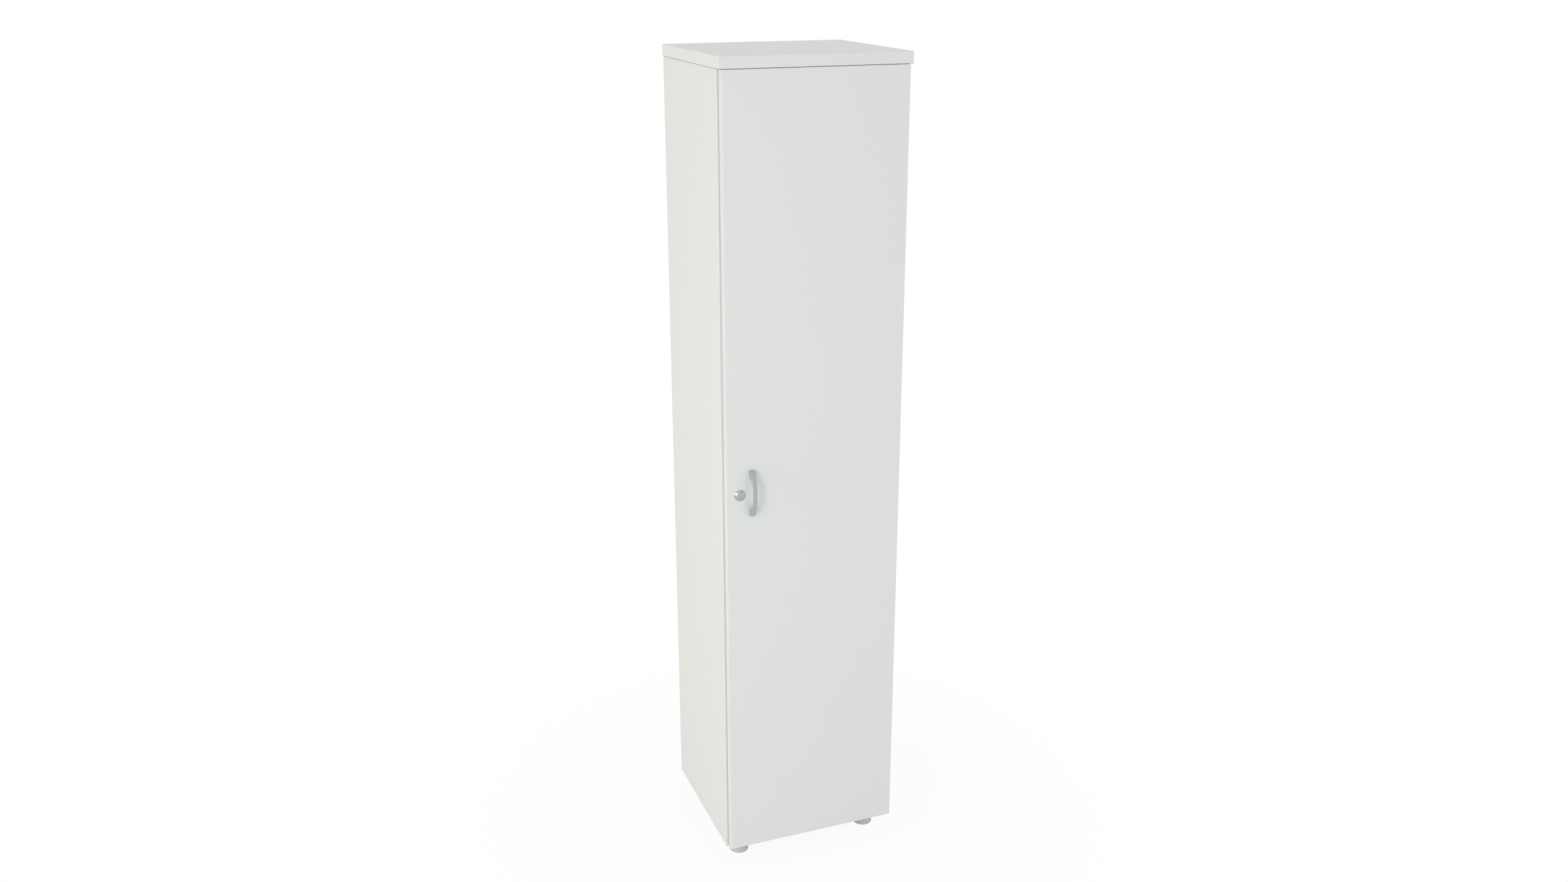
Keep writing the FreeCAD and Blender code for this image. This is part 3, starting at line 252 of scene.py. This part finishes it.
boardLook = {
    "colour": (0.795, 0.817, 0.804, 1), "shade": (0.782, 0.804, 0.790, 1), "ior": 1.45,
    "cloud": 0.35, "pearl": 0.0009, "pearlDepth": 0.00004, "roughness": 0.46, "spread": 0.10,
}
carcassLook = {**boardLook, "dustAndShadeInSeams": seamDustAndShadeLook}
handleLow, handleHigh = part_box("handle")
doorLook = {
    **boardLook, "touch": (handleLow + handleHigh) / 2, "reach": (0.075, 0.05, 0.11),
    "touchFade": (0.2, 1.0), "smear": 0.03, "smearBand": (0.42, 0.62), "polish": 0.08,
    "grime": 0.25, "grimeColour": (0.74, 0.745, 0.725, 1),
}
shelfLook = {**boardLook, "raw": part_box("hat_shelf")[1].xy}
edgingLook = {
    **boardLook, "colour": (0.793, 0.815, 0.802, 1), "shade": (0.783, 0.805, 0.791, 1),
    "cloud": 0.12, "pearl": 0.0005, "pearlDepth": 0.00002, "roughness": 0.40,
}
backLook = {**boardLook, "colour": (0.785, 0.805, 0.790, 1), "pearl": 0.0012, "roughness": 0.55}


# moulded plastic: spark-eroded mould grain, faint flow marks
def plasticFinish(name, look):
    sheet = newFinish(name, {"IOR": look["ior"], **look.get("constants", {})})
    flow = sheet.noise(look["flow"], "plain")
    spark = sheet.noise(look["spark"], "soft")
    swings = sheet.swing(spark, look["sparkSpread"]) + sheet.swing(flow, look["flowSpread"])
    sheet.wear(
        colour=sheet.blend(flow, look["shade"], look["colour"]),
        roughness=look["roughness"] + swings,
        normal=sheet.bump(spark, look["sparkDepth"]),
    )
    return sheet.material


mouldLook = {"ior": 1.5, "sparkSpread": 0.12, "flowSpread": 0.1}
footLook = {
    **mouldLook, "colour": (0.582, 0.648, 0.646, 1), "shade": (0.550, 0.614, 0.612, 1),
    "flow": 0.02, "spark": 0.0006, "sparkDepth": 0.00006, "roughness": 0.5,
}
socketLook = {
    **mouldLook, "colour": (0.045, 0.045, 0.047, 1), "shade": (0.030, 0.030, 0.031, 1),
    "flow": 0.015, "spark": 0.0006, "sparkDepth": 0.00005, "roughness": 0.55,
}
capLook = {
    **mouldLook, "colour": (0.79, 0.80, 0.78, 1), "shade": (0.765, 0.775, 0.755, 1),
    "flow": 0.012, "spark": 0.0004, "sparkDepth": 0.00002, "roughness": 0.38,
}
bufferLook = {
    **mouldLook, "colour": (0.70, 0.71, 0.69, 1), "shade": (0.63, 0.64, 0.63, 1),
    "flow": 0.004, "spark": 0.0005, "sparkDepth": 0.00002, "roughness": 0.3,
    "constants": {"Subsurface Weight": 0.3, "Subsurface Scale": 0.003},
}


# metal: brushed or tumbled lines, a little tarnish
def metalFinish(name, look):
    sheet = newFinish(name, {"Metallic": 1.0, **look.get("constants", {})})
    lines = sheet.noise(look["lines"], "plain")
    dull = sheet.noise(look["dull"], "rich")
    sheet.wear(
        colour=sheet.blend(dull, look["shade"], look["colour"]),
        roughness=look["roughness"] + sheet.swing(lines, look["spread"]) + sheet.swing(dull, look["spread"]),
        normal=sheet.bump(lines, look["lineDepth"]),
    )
    return sheet.material


handleLook = {  # silver lacquer over the casting: flat grey, with the flakes just showing
    "colour": (0.422, 0.476, 0.476, 1), "shade": (0.404, 0.457, 0.457, 1), "lines": (0.0003, 0.0003, 0.0006),
    "lineDepth": 0.000012, "dull": 0.02, "roughness": 0.42, "spread": 0.12, "constants": {"Metallic": 0.18},
}
nickelLook = {
    "colour": (0.66, 0.655, 0.64, 1), "shade": (0.60, 0.60, 0.59, 1), "lines": (0.002, 0.0003, 0.0003),
    "lineDepth": 0.000004, "dull": 0.012, "roughness": 0.27, "spread": 0.08,
}
plateLook = {
    "colour": (0.60, 0.62, 0.645, 1), "shade": (0.54, 0.55, 0.55, 1), "lines": (0.0005, 0.0005, 0.0005),
    "lineDepth": 0.00001, "dull": 0.008, "roughness": 0.34, "spread": 0.16,
}
screwLook = {
    "colour": (0.64, 0.65, 0.66, 1), "shade": (0.55, 0.555, 0.55, 1), "lines": (0.0004, 0.0004, 0.0004),
    "lineDepth": 0.000008, "dull": 0.004, "roughness": 0.30, "spread": 0.16,
}
zincLook = {
    "colour": (0.56, 0.57, 0.58, 1), "shade": (0.47, 0.475, 0.48, 1), "lines": (0.0006, 0.0006, 0.0006),
    "lineDepth": 0.00003, "dull": 0.005, "roughness": 0.48, "spread": 0.14,
}
hookLook = {
    "colour": (0.56, 0.58, 0.58, 1), "shade": (0.52, 0.54, 0.54, 1), "lines": (0.0003, 0.0003, 0.003),
    "lineDepth": 0.00001, "dull": 0.015, "roughness": 0.36, "spread": 0.12,
}


# lock face: rings left by turning, round the lock's own axis
plugLow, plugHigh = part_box("lock_plug")
lockLook = {
    "colour": (0.468, 0.521, 0.517, 1), "shade": (0.440, 0.491, 0.486, 1), "axis": (plugLow + plugHigh) / 2,
    "ring": 0.00022, "ringDepth": 0.00001, "dull": 0.006, "roughness": 0.30, "spread": 0.14,
}


def turnedFinish(name, look):
    sheet = newFinish(name, {"Metallic": 1.0})
    place = sheet.spot(centre=look["axis"])
    flat = sheet.add("ShaderNodeVectorMath", {"operation": "MULTIPLY"}, {0: place, 1: (1, 0, 1)})
    radius = sheet.distance(flat, (0, 0, 0))
    rings = sheet.add("ShaderNodeTexNoise", {"noise_dimensions": "1D"},
                      {"W": radius / look["ring"], "Scale": 1.0, "Detail": noiseDetail["soft"]})
    dull = sheet.noise(look["dull"], "rich")
    sheet.wear(
        colour=sheet.blend(dull, look["shade"], look["colour"]),
        roughness=look["roughness"] + sheet.swing(rings, look["spread"]) + sheet.swing(dull, look["spread"]),
        normal=sheet.bump(rings, look["ringDepth"]),
    )
    return sheet.material


# beech dowels: pores along the grain
beechLook = {
    "grain": (0.0008, 0.0008, 0.012), "roughness": 0.7, "spread": 0.2, "depth": 0.00008,
    "stops": [(0.3, (0.42, 0.27, 0.15, 1)), (0.7, (0.64, 0.46, 0.29, 1))],
}


def beechFinish(name, look):
    sheet = newFinish(name, {})
    grain = sheet.noise(look["grain"], "busy")
    sheet.wear(
        colour=sheet.add("ShaderNodeValToRGB", {"stops": look["stops"]}, {"Fac": grain}),
        roughness=look["roughness"] + sheet.swing(grain, look["spread"]),
        normal=sheet.bump(grain, look["depth"]),
    )
    return sheet.material


finishes = {
    "white_board": boardFinish("whiteBoard", carcassLook),
    "white_edging": boardFinish("whiteEdging", {**edgingLook, "dustAndShadeInSeams": seamDustAndShadeLook}),
    "back_board": boardFinish("backBoard", backLook),
    "foot_plastic": plasticFinish("footPlastic", footLook),
    "dark_plastic": plasticFinish("socketPlastic", socketLook),
    "white_plastic": plasticFinish("capPlastic", capLook),
    "soft_plastic": plasticFinish("bufferPlastic", bufferLook),
    "zinc": metalFinish("castZinc", zincLook),
    "hinge_steel": metalFinish("hingeNickel", nickelLook),
    "screw_steel": metalFinish("screwSteel", screwLook),
    "plate_steel": metalFinish("plateSteel", plateLook),
    "satin_metal": metalFinish("handleSatin", handleLook),
    "lock_metal": turnedFinish("lockTurned", lockLook),
    "hook_metal": metalFinish("hookSatin", hookLook),
    "beech": beechFinish("dowelBeech", beechLook),
}
ownFinish = {
    "door_panel": boardFinish("doorBoard", doorLook),
    "door_edging": boardFinish("doorEdging", edgingLook),
    "hat_shelf": boardFinish("shelfBoard", shelfLook),
}
for node, piece in nodes.items():
    finish = ownFinish.get(node, finishes[slotOf[node]])
    for place in piece.material_slots:
        place.material = finish
print("finishes:", len(finishes) + len(ownFinish))


# copy of a mesh with the points that lie together welded
def weldedCopy(mesh, reach=0.000001):
    shape = bmesh.new()
    shape.from_mesh(mesh)
    bmesh.ops.remove_doubles(shape, verts=shape.verts, dist=reach)
    return shape


def cornersOf(places):
    return tuple(Vector([pick(place[i] for place in places) for i in range(3)]) for pick in (min, max))


# the points of each loose solid, in a steady order
def looseSolids(node):
    shape = weldedCopy(nodes[node].data)
    left, solids = set(shape.verts), []
    while left:
        solid, edge = [], [left.pop()]
        while edge:
            vert = edge.pop()
            solid.append(vert.co.copy())
            for link in vert.link_edges:
                other = link.other_vert(vert)
                if other in left:
                    left.remove(other)
                    edge.append(other)
        solids.append(solid)
    shape.free()
    return sorted(solids, key=lambda solid: tuple(cornersOf(solid)[0]))


def linked(name, mesh):
    piece = bpy.data.objects.new(name, mesh)
    scene.collection.objects.link(piece)
    return piece


def evaluated(piece):
    graph = bpy.context.evaluated_depsgraph_get()
    return bpy.data.meshes.new_from_object(piece.evaluated_get(graph))


# pan-head screws: a turned head with a cross recess and a plain shank at each point
screwShape = {
    "headRing": 28, "shankRing": 14, "recessLength": 1.15, "recessWidth": 0.26, "recessDepth": 0.62,
    "spin": math.pi / 2, "seed": 11, "weld": 0.001, "crease": 35,
    # from under the head to its crown, in shares of the head's radius and height
    "radius": (0, 0.5, 1, 1, 1, 0.985, 0.94, 0.86, 0.75, 0.60, 0.42, 0.20, 0),
    "height": (0, 0, 0, 0.22, 0.40, 0.55, 0.68, 0.79, 0.88, 0.945, 0.98, 0.997, 1),
}


def screwTree(shape):
    tree = bpy.data.node_groups.new("panScrews", "GeometryNodeTree")
    sockets = {
        "Points": "NodeSocketGeometry", "Recess length": "NodeSocketFloat",
        "Recess width": "NodeSocketFloat", "Recess depth": "NodeSocketFloat",
        "Spin": "NodeSocketFloat", "Seed": "NodeSocketInt", "Finish": "NodeSocketMaterial",
    }
    for name, kind in sockets.items():
        tree.interface.new_socket(name, in_out="INPUT", socket_type=kind)
    tree.interface.new_socket("Screws", in_out="OUTPUT", socket_type="NodeSocketGeometry")
    sheet = NodeSheet(tree)
    entry = sheet.add("NodeGroupInput", {}, {}, "Points")

    stations = len(shape["radius"])
    turned = sheet.add("GeometryNodeMeshGrid", {}, {
        "Size X": 1.0, "Size Y": 1.0, "Vertices X": stations, "Vertices Y": shape["headRing"] + 1})
    along = sheet.add("ShaderNodeSeparateXYZ", {}, {0: sheet.add("GeometryNodeInputPosition", {}, {})})
    half = 0.5  # the unit grid and the unit cylinder lie about their middles
    station = along + half
    angle = (along.also("Y") + half) * (-2 * math.pi)

    def profile(key):
        points = [(i / (stations - 1), value) for i, value in enumerate(shape[key])]
        return sheet.add("ShaderNodeFloatCurve", {"curve": points}, {"Value": station})

    radius, height = profile("radius"), profile("height")
    across, upright = radius * angle.math("COSINE", angle), radius * angle.math("SINE", angle)
    around = sheet.add("ShaderNodeCombineXYZ", {}, {"X": across, "Y": upright, "Z": height})
    head = sheet.add("GeometryNodeSetPosition", {}, {"Geometry": turned, "Position": around})
    head = sheet.add("GeometryNodeMergeByDistance", {}, {"Geometry": head, "Distance": shape["weld"]})

    long, narrow, deep = (entry.also(name) for name in ("Recess length", "Recess width", "Recess depth"))
    bars = []  # their upper halves stand above the crown
    for x, y in ((long, narrow), (narrow, long)):
        size = sheet.add("ShaderNodeCombineXYZ", {}, {"X": x, "Y": y, "Z": deep * 2})
        bar = sheet.add("GeometryNodeMeshCube", {}, {"Size": size})
        bars.append(sheet.add("GeometryNodeTransform", {}, {"Geometry": bar, "Translation": (0, 0, 1)}))
    head = sheet.add("GeometryNodeMeshBoolean", {"operation": "DIFFERENCE", "solver": "EXACT"},
                     {"Mesh 1": head, "Mesh 2": bars})
    shank = sheet.add("GeometryNodeMeshCylinder", {}, {
        "Vertices": shape["shankRing"], "Radius": 1.0, "Depth": 1.0})
    shank = sheet.add("GeometryNodeTransform", {}, {"Geometry": shank, "Translation": (0, 0, -half)})

    def stored(name, kind="FLOAT"):
        return sheet.add("GeometryNodeInputNamedAttribute", {"data_type": kind}, {"Name": name})

    facing = stored("facing", "FLOAT_VECTOR")
    turn = sheet.add("FunctionNodeAlignRotationToVector", {"axis": "Z"}, {"Vector": facing})
    # sockets 2, 3 and 1 are the least, the most and the drawn number
    spin = sheet.add("FunctionNodeRandomValue", {"data_type": "FLOAT"},
                     {2: 0.0, 3: entry.also("Spin"), "Seed": entry.also("Seed")}, 1)
    spin = sheet.add("ShaderNodeCombineXYZ", {}, {"Z": spin})
    turn = sheet.add("FunctionNodeRotateRotation", {"rotation_space": "LOCAL"},
                     {"Rotation": turn, "Rotate By": spin})
    sets = []
    for solid, wide, tall in ((head, "headRadius", "headHeight"), (shank, "shankRadius", "shankLength")):
        size = {"X": stored(wide), "Y": stored(wide), "Z": stored(tall)}
        size = sheet.add("ShaderNodeCombineXYZ", {}, size)
        sets.append(sheet.add("GeometryNodeInstanceOnPoints", {}, {
            "Points": entry, "Instance": solid, "Rotation": turn, "Scale": size}))
    screws = sheet.add("GeometryNodeJoinGeometry", {}, {"Geometry": sets})
    screws = sheet.add("GeometryNodeRealizeInstances", {}, {"Geometry": screws})
    screws = sheet.add("GeometryNodeSetMaterial", {}, {"Geometry": screws, "Material": entry.also("Finish")})
    sheet.add("NodeGroupOutput", {}, {"Screws": screws})
    return tree


# the axis and side that each group's heads face; the sizes are read from the CAD solids
screwGroups = {
    "hinge_cup_screws": {"axis": 1, "side": 1},
    "handle_screws": {"axis": 1, "side": 1},
    "lock_lever_screw": {"axis": 1, "side": 1},
    "hinge_plate_screws": {"axis": 0, "side": -1},
    "hinge_arm_screws": {"axis": 0, "side": -1},
    "lock_catch_screws": {"axis": 0, "side": 1},
    "broom_hook_screws": {"axis": 1, "side": -1},
    "wall_bracket_screws": {"axis": 2, "side": -1},
}
screwRead = {"rim": 0.99, "tip": 0.00001}  # share of the head's radius, and distance from the shank's end


def screwSizes(solid, axis, side):
    across = axis - 1  # another axis, square to the screw
    low, high = cornersOf(solid)
    crown, tip = (high, low) if side > 0 else (low, high)
    headRadius = (high - low)[across] / 2
    middle = (low + high) / 2
    reach = {tuple(place): (place - middle)[across] for place in solid}
    rim = [place[axis] for place in solid if reach[tuple(place)] > screwRead["rim"] * headRadius]
    end = [reach[tuple(place)] for place in solid if abs(place[axis] - tip[axis]) < screwRead["tip"]]
    middle[axis] = min(rim) if side > 0 else max(rim)
    return middle, {
        "facing": [side * (i == axis) for i in range(3)],
        "headRadius": headRadius, "headHeight": abs(crown[axis] - middle[axis]),
        "shankRadius": max(end), "shankLength": abs(middle[axis] - tip[axis]),
    }


def screwPoints(groups):
    names = ("facing", "headRadius", "headHeight", "shankRadius", "shankLength")
    places, values = [], {name: [] for name in names}
    for node in groups:
        for solid in looseSolids(node):
            seat, sizes = screwSizes(solid, **screwGroups[node])
            places.append(seat)
            for name, value in sizes.items():
                values[name].append(value)
    mesh = bpy.data.meshes.new("screwPoints")
    mesh.from_pydata(places, [], [])
    for name, column in values.items():
        vector = name == "facing"
        stored = mesh.attributes.new(name, "FLOAT_VECTOR" if vector else "FLOAT", "POINT")
        flat = [part for row in column for part in row] if vector else column
        stored.data.foreach_set("vector" if vector else "value", [float(part) for part in flat])
    return mesh


def makeScrews():
    tree = screwTree(screwShape)
    ids = {item.name: item.identifier for item in tree.interface.items_tree if item.in_out == "INPUT"}
    inputs = {
        "Recess length": screwShape["recessLength"], "Recess width": screwShape["recessWidth"],
        "Recess depth": screwShape["recessDepth"], "Spin": screwShape["spin"], "Seed": screwShape["seed"],
        "Finish": finishes["screw_steel"],
    }
    for body in ("carcass", "door", "lock"):
        groups = [node for node in screwGroups if bodyOf[node] == body]
        points = linked(body + "Points", screwPoints(groups))
        modifier = points.modifiers.new("screws", "NODES")
        modifier.node_group = tree
        for name, value in inputs.items():
            modifier[ids[name]] = value
        mesh = evaluated(points)
        points.modifiers.remove(modifier)
        bpy.data.objects.remove(points)
        mesh.set_sharp_from_angle(angle=math.radians(screwShape["crease"]))
        screws = linked(body + "_screws", mesh)
        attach(screws, body)
        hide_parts(*groups)
        print("screws on", body + ":", len(groups), "groups,", len(mesh.polygons), "faces")


makeScrews()


# pressed and cast hardware gets the small rounded arris that tooling leaves
hingeNumbers = (1, 2, 3, 4)
arrisLook = {
    **{f"hinge_arm_{number}": 0.0006 for number in hingeNumbers},
    **{f"hinge_plate_{number}": 0.0005 for number in hingeNumbers},
    "wall_bracket": 0.0003, "lock_catch": 0.0004, "lock_lever": 0.0003, "lock_nut": 0.0004,
}
arrisShape = {"segments": 2, "flat": 0.5, "corner": 40, "crease": 30}  # angles in degrees


def easeArris(node, width):
    shape = weldedCopy(nodes[node].data)
    flat = math.radians(arrisShape["flat"])
    bmesh.ops.dissolve_limit(shape, angle_limit=flat, verts=shape.verts, edges=shape.edges)
    mesh = bpy.data.meshes.new(node + "_eased")
    shape.to_mesh(mesh)
    shape.free()
    rough = linked(node + "Rough", mesh)
    bevel = rough.modifiers.new("arris", "BEVEL")
    bevel.width, bevel.segments, bevel.limit_method = width, arrisShape["segments"], "ANGLE"
    bevel.angle_limit = math.radians(arrisShape["corner"])
    eased = evaluated(rough)
    bpy.data.objects.remove(rough)
    shape = weldedCopy(eased)
    shape.to_mesh(eased)
    shape.free()
    eased.materials.clear()
    eased.materials.append(finishes[slotOf[node]])
    eased.polygons.foreach_set("use_smooth", [True] * len(eased.polygons))
    eased.set_sharp_from_angle(angle=math.radians(arrisShape["crease"]))
    piece = linked(node + "_eased", eased)
    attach(piece, bodyOf[node])
    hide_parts(node)


for node, width in arrisLook.items():
    easeArris(node, width)
print("eased hardware:", len(arrisLook))


# spring leaf that shuts the lock's key slot against dust, just below the plug's face
shutterLook = {
    "play": 0.00005, "recess": 0.0003, "thickness": 0.0006,
    "round": 0.0002, "segments": 3, "profile": 0.5, "crease": 40,
    "face": 0.00001, "inside": 0.8,  # the slot's points lie this near the face, within this share of its rim
}


# the corners of the key slot, read from the plug's front face
def keySlot(look):
    axis = (plugLow + plugHigh) / 2
    face = [vert.co for vert in nodes["lock_plug"].data.vertices if vert.co.y - plugLow.y < look["face"]]
    rim = max((place - axis).xz.length for place in face)
    return cornersOf([place for place in face if (place - axis).xz.length < look["inside"] * rim])


def makeShutter(look):
    low, high = keySlot(look)
    width, height = (side - 2 * look["play"] for side in (high - low).xz)
    middle = (plugLow + plugHigh) / 2
    middle.y = plugLow.y + look["recess"] + look["thickness"] / 2
    shape = bmesh.new()
    bmesh.ops.create_cube(shape, size=1.0)
    bmesh.ops.scale(shape, vec=(width, look["thickness"], height), verts=shape.verts)
    bmesh.ops.bevel(shape, geom=shape.edges[:], offset=look["round"], segments=look["segments"],
                    profile=look["profile"], affect="EDGES")
    bmesh.ops.translate(shape, vec=middle, verts=shape.verts)
    mesh = bpy.data.meshes.new("key_shutter")
    shape.to_mesh(mesh)
    shape.free()
    mesh.materials.append(finishes["lock_metal"])
    mesh.polygons.foreach_set("use_smooth", [True] * len(mesh.polygons))
    mesh.set_sharp_from_angle(angle=math.radians(look["crease"]))
    shutter = linked("key_shutter", mesh)
    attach(shutter, bodyOf["lock_plug"])


makeShutter(shutterLook)
print("key shutter in the lock")


# white studio: the camera and reflections see white, everything else gets a plain level
studioLook = {
    "level": 0.60, "white": 1.0, "floorColour": (0.94, 0.94, 0.94, 1), "floorReach": 60.0,
    "lift": 0.93, "fade": (0.3, 1.0),  # share of white near the cupboard, and distances over which it fills
}


def seenDirectly(sheet):
    path = sheet.add("ShaderNodeLightPath", {}, {}, "Is Camera Ray")
    rays = path + path.also("Is Glossy Ray") + path.also("Is Transmission Ray")
    return rays.math("MINIMUM", rays, 1.0)


def makeWorld(look):
    world = bpy.data.worlds.new("studio")
    world.use_nodes = True
    scene.world = world
    sheet = NodeSheet(world.node_tree)
    seen = seenDirectly(sheet)
    backdrop = world.node_tree.nodes["Background"]
    backdrop.inputs["Color"].default_value = (1, 1, 1, 1)
    sheet.feed(backdrop.inputs["Strength"], look["level"] + seen * (look["white"] - look["level"]))


def makeFloor(look):
    material = bpy.data.materials.new("studioFloor")
    material.use_nodes = True
    material.node_tree.nodes.clear()
    sheet = NodeSheet(material.node_tree)
    far = sheet.step(sheet.distance(sheet.spot(), (0, 0, 0)), *look["fade"])
    lift = seenDirectly(sheet) * (look["lift"] + far * (1 - look["lift"]))
    matt = sheet.add("ShaderNodeBsdfDiffuse", {}, {"Color": look["floorColour"]})
    white = sheet.add("ShaderNodeEmission", {}, {"Strength": look["white"]})
    mixed = sheet.add("ShaderNodeMixShader", {}, {0: lift, 1: matt, 2: white})
    sheet.add("ShaderNodeOutputMaterial", {}, {"Surface": mixed})
    reach = look["floorReach"]
    mesh = bpy.data.meshes.new("studioFloor")
    corners = [(x * reach, y * reach, 0) for x, y in ((-1, -1), (1, -1), (1, 1), (-1, 1))]
    mesh.from_pydata(corners, [], [(0, 1, 2, 3)])
    mesh.materials.append(material)
    linked("studioFloor", mesh)


# softboxes: where each hangs, what it faces, its width and height, its power, and whether metal mirrors it
lampLook = {
    "keyBox": {"place": (-2.10, -1.81, 1.56), "aim": (-0.1, -0.05, 0.95), "size": (0.55, 0.75), "power": 11,
               "colour": (1.0, 1.0, 1.0), "mirrored": True},
    "sideBox": {"place": (-3.4, 0.1, 1.0), "aim": (-0.2, 0, 0.9), "size": (2.4, 2.6), "power": 21.2,
                "colour": (1.0, 0.86, 0.66), "mirrored": False},
    "frontBox": {"place": (2.2, -3.6, 0.9), "aim": (0, -0.17, 0.8), "size": (2.4, 1.7), "power": 15.5,
                 "colour": (1.0, 1.0, 1.0), "mirrored": False},
    "cornerBox": {"place": (-3.1, -4.1, 0.9), "aim": (-0.1, -0.1, 0.8), "size": (2.6, 1.7), "power": 24.5,
                  "colour": (1.0, 1.0, 1.0), "mirrored": False},
    "topBox": {"place": (0.2, -0.3, 4.6), "aim": (0, 0, 1.85), "size": (2.4, 2.4), "power": 11,
               "colour": (1.0, 1.0, 1.0), "mirrored": False},
}


def makeLamp(name, look):
    lamp = bpy.data.lights.new(name, "AREA")
    lamp.shape, lamp.energy, lamp.color = "RECTANGLE", look["power"], look["colour"]
    lamp.size, lamp.size_y = look["size"]
    holder = linked(name, lamp)
    place = Vector(look["place"])
    holder.location = place
    holder.rotation_euler = (place - Vector(look["aim"])).to_track_quat("Z", "Y").to_euler()
    holder.visible_glossy = look["mirrored"]


makeWorld(studioLook)
makeFloor(studioLook)
for name, look in lampLook.items():
    makeLamp(name, look)
print("studio:", len(lampLook), "softboxes")


# fitted to the photograph's edges
cameraLook = {
    "place": (-1.119706, -2.886638, 2.058179), "azimuth": -21.129, "elevation": 19.199, "roll": 0.059,
    "focalPixels": 2353.975, "framePixels": 2576, "sensor": 36.0,
}


def makeCamera(look):
    lens = bpy.data.cameras.new("photoCamera")
    lens.sensor_fit, lens.sensor_width = "HORIZONTAL", look["sensor"]
    lens.lens = look["focalPixels"] / look["framePixels"] * look["sensor"]
    azimuth, elevation, roll = (math.radians(look[key]) for key in ("azimuth", "elevation", "roll"))
    back = Vector((math.sin(azimuth) * math.cos(elevation), -math.cos(azimuth) * math.cos(elevation),
                   math.sin(elevation)))
    right = Vector((0, 0, 1)).cross(back).normalized()
    up = back.cross(right)
    axes = (right * math.cos(roll) + up * math.sin(roll), up * math.cos(roll) - right * math.sin(roll), back)
    holder = linked("photoCamera", lens)
    holder.matrix_world = Matrix.Translation(look["place"]) @ Matrix(axes).transposed().to_4x4()
    scene.camera = holder


makeCamera(cameraLook)
print("camera: lens", round(scene.camera.data.lens, 3), "mm")

bpy.context.view_layer.update()
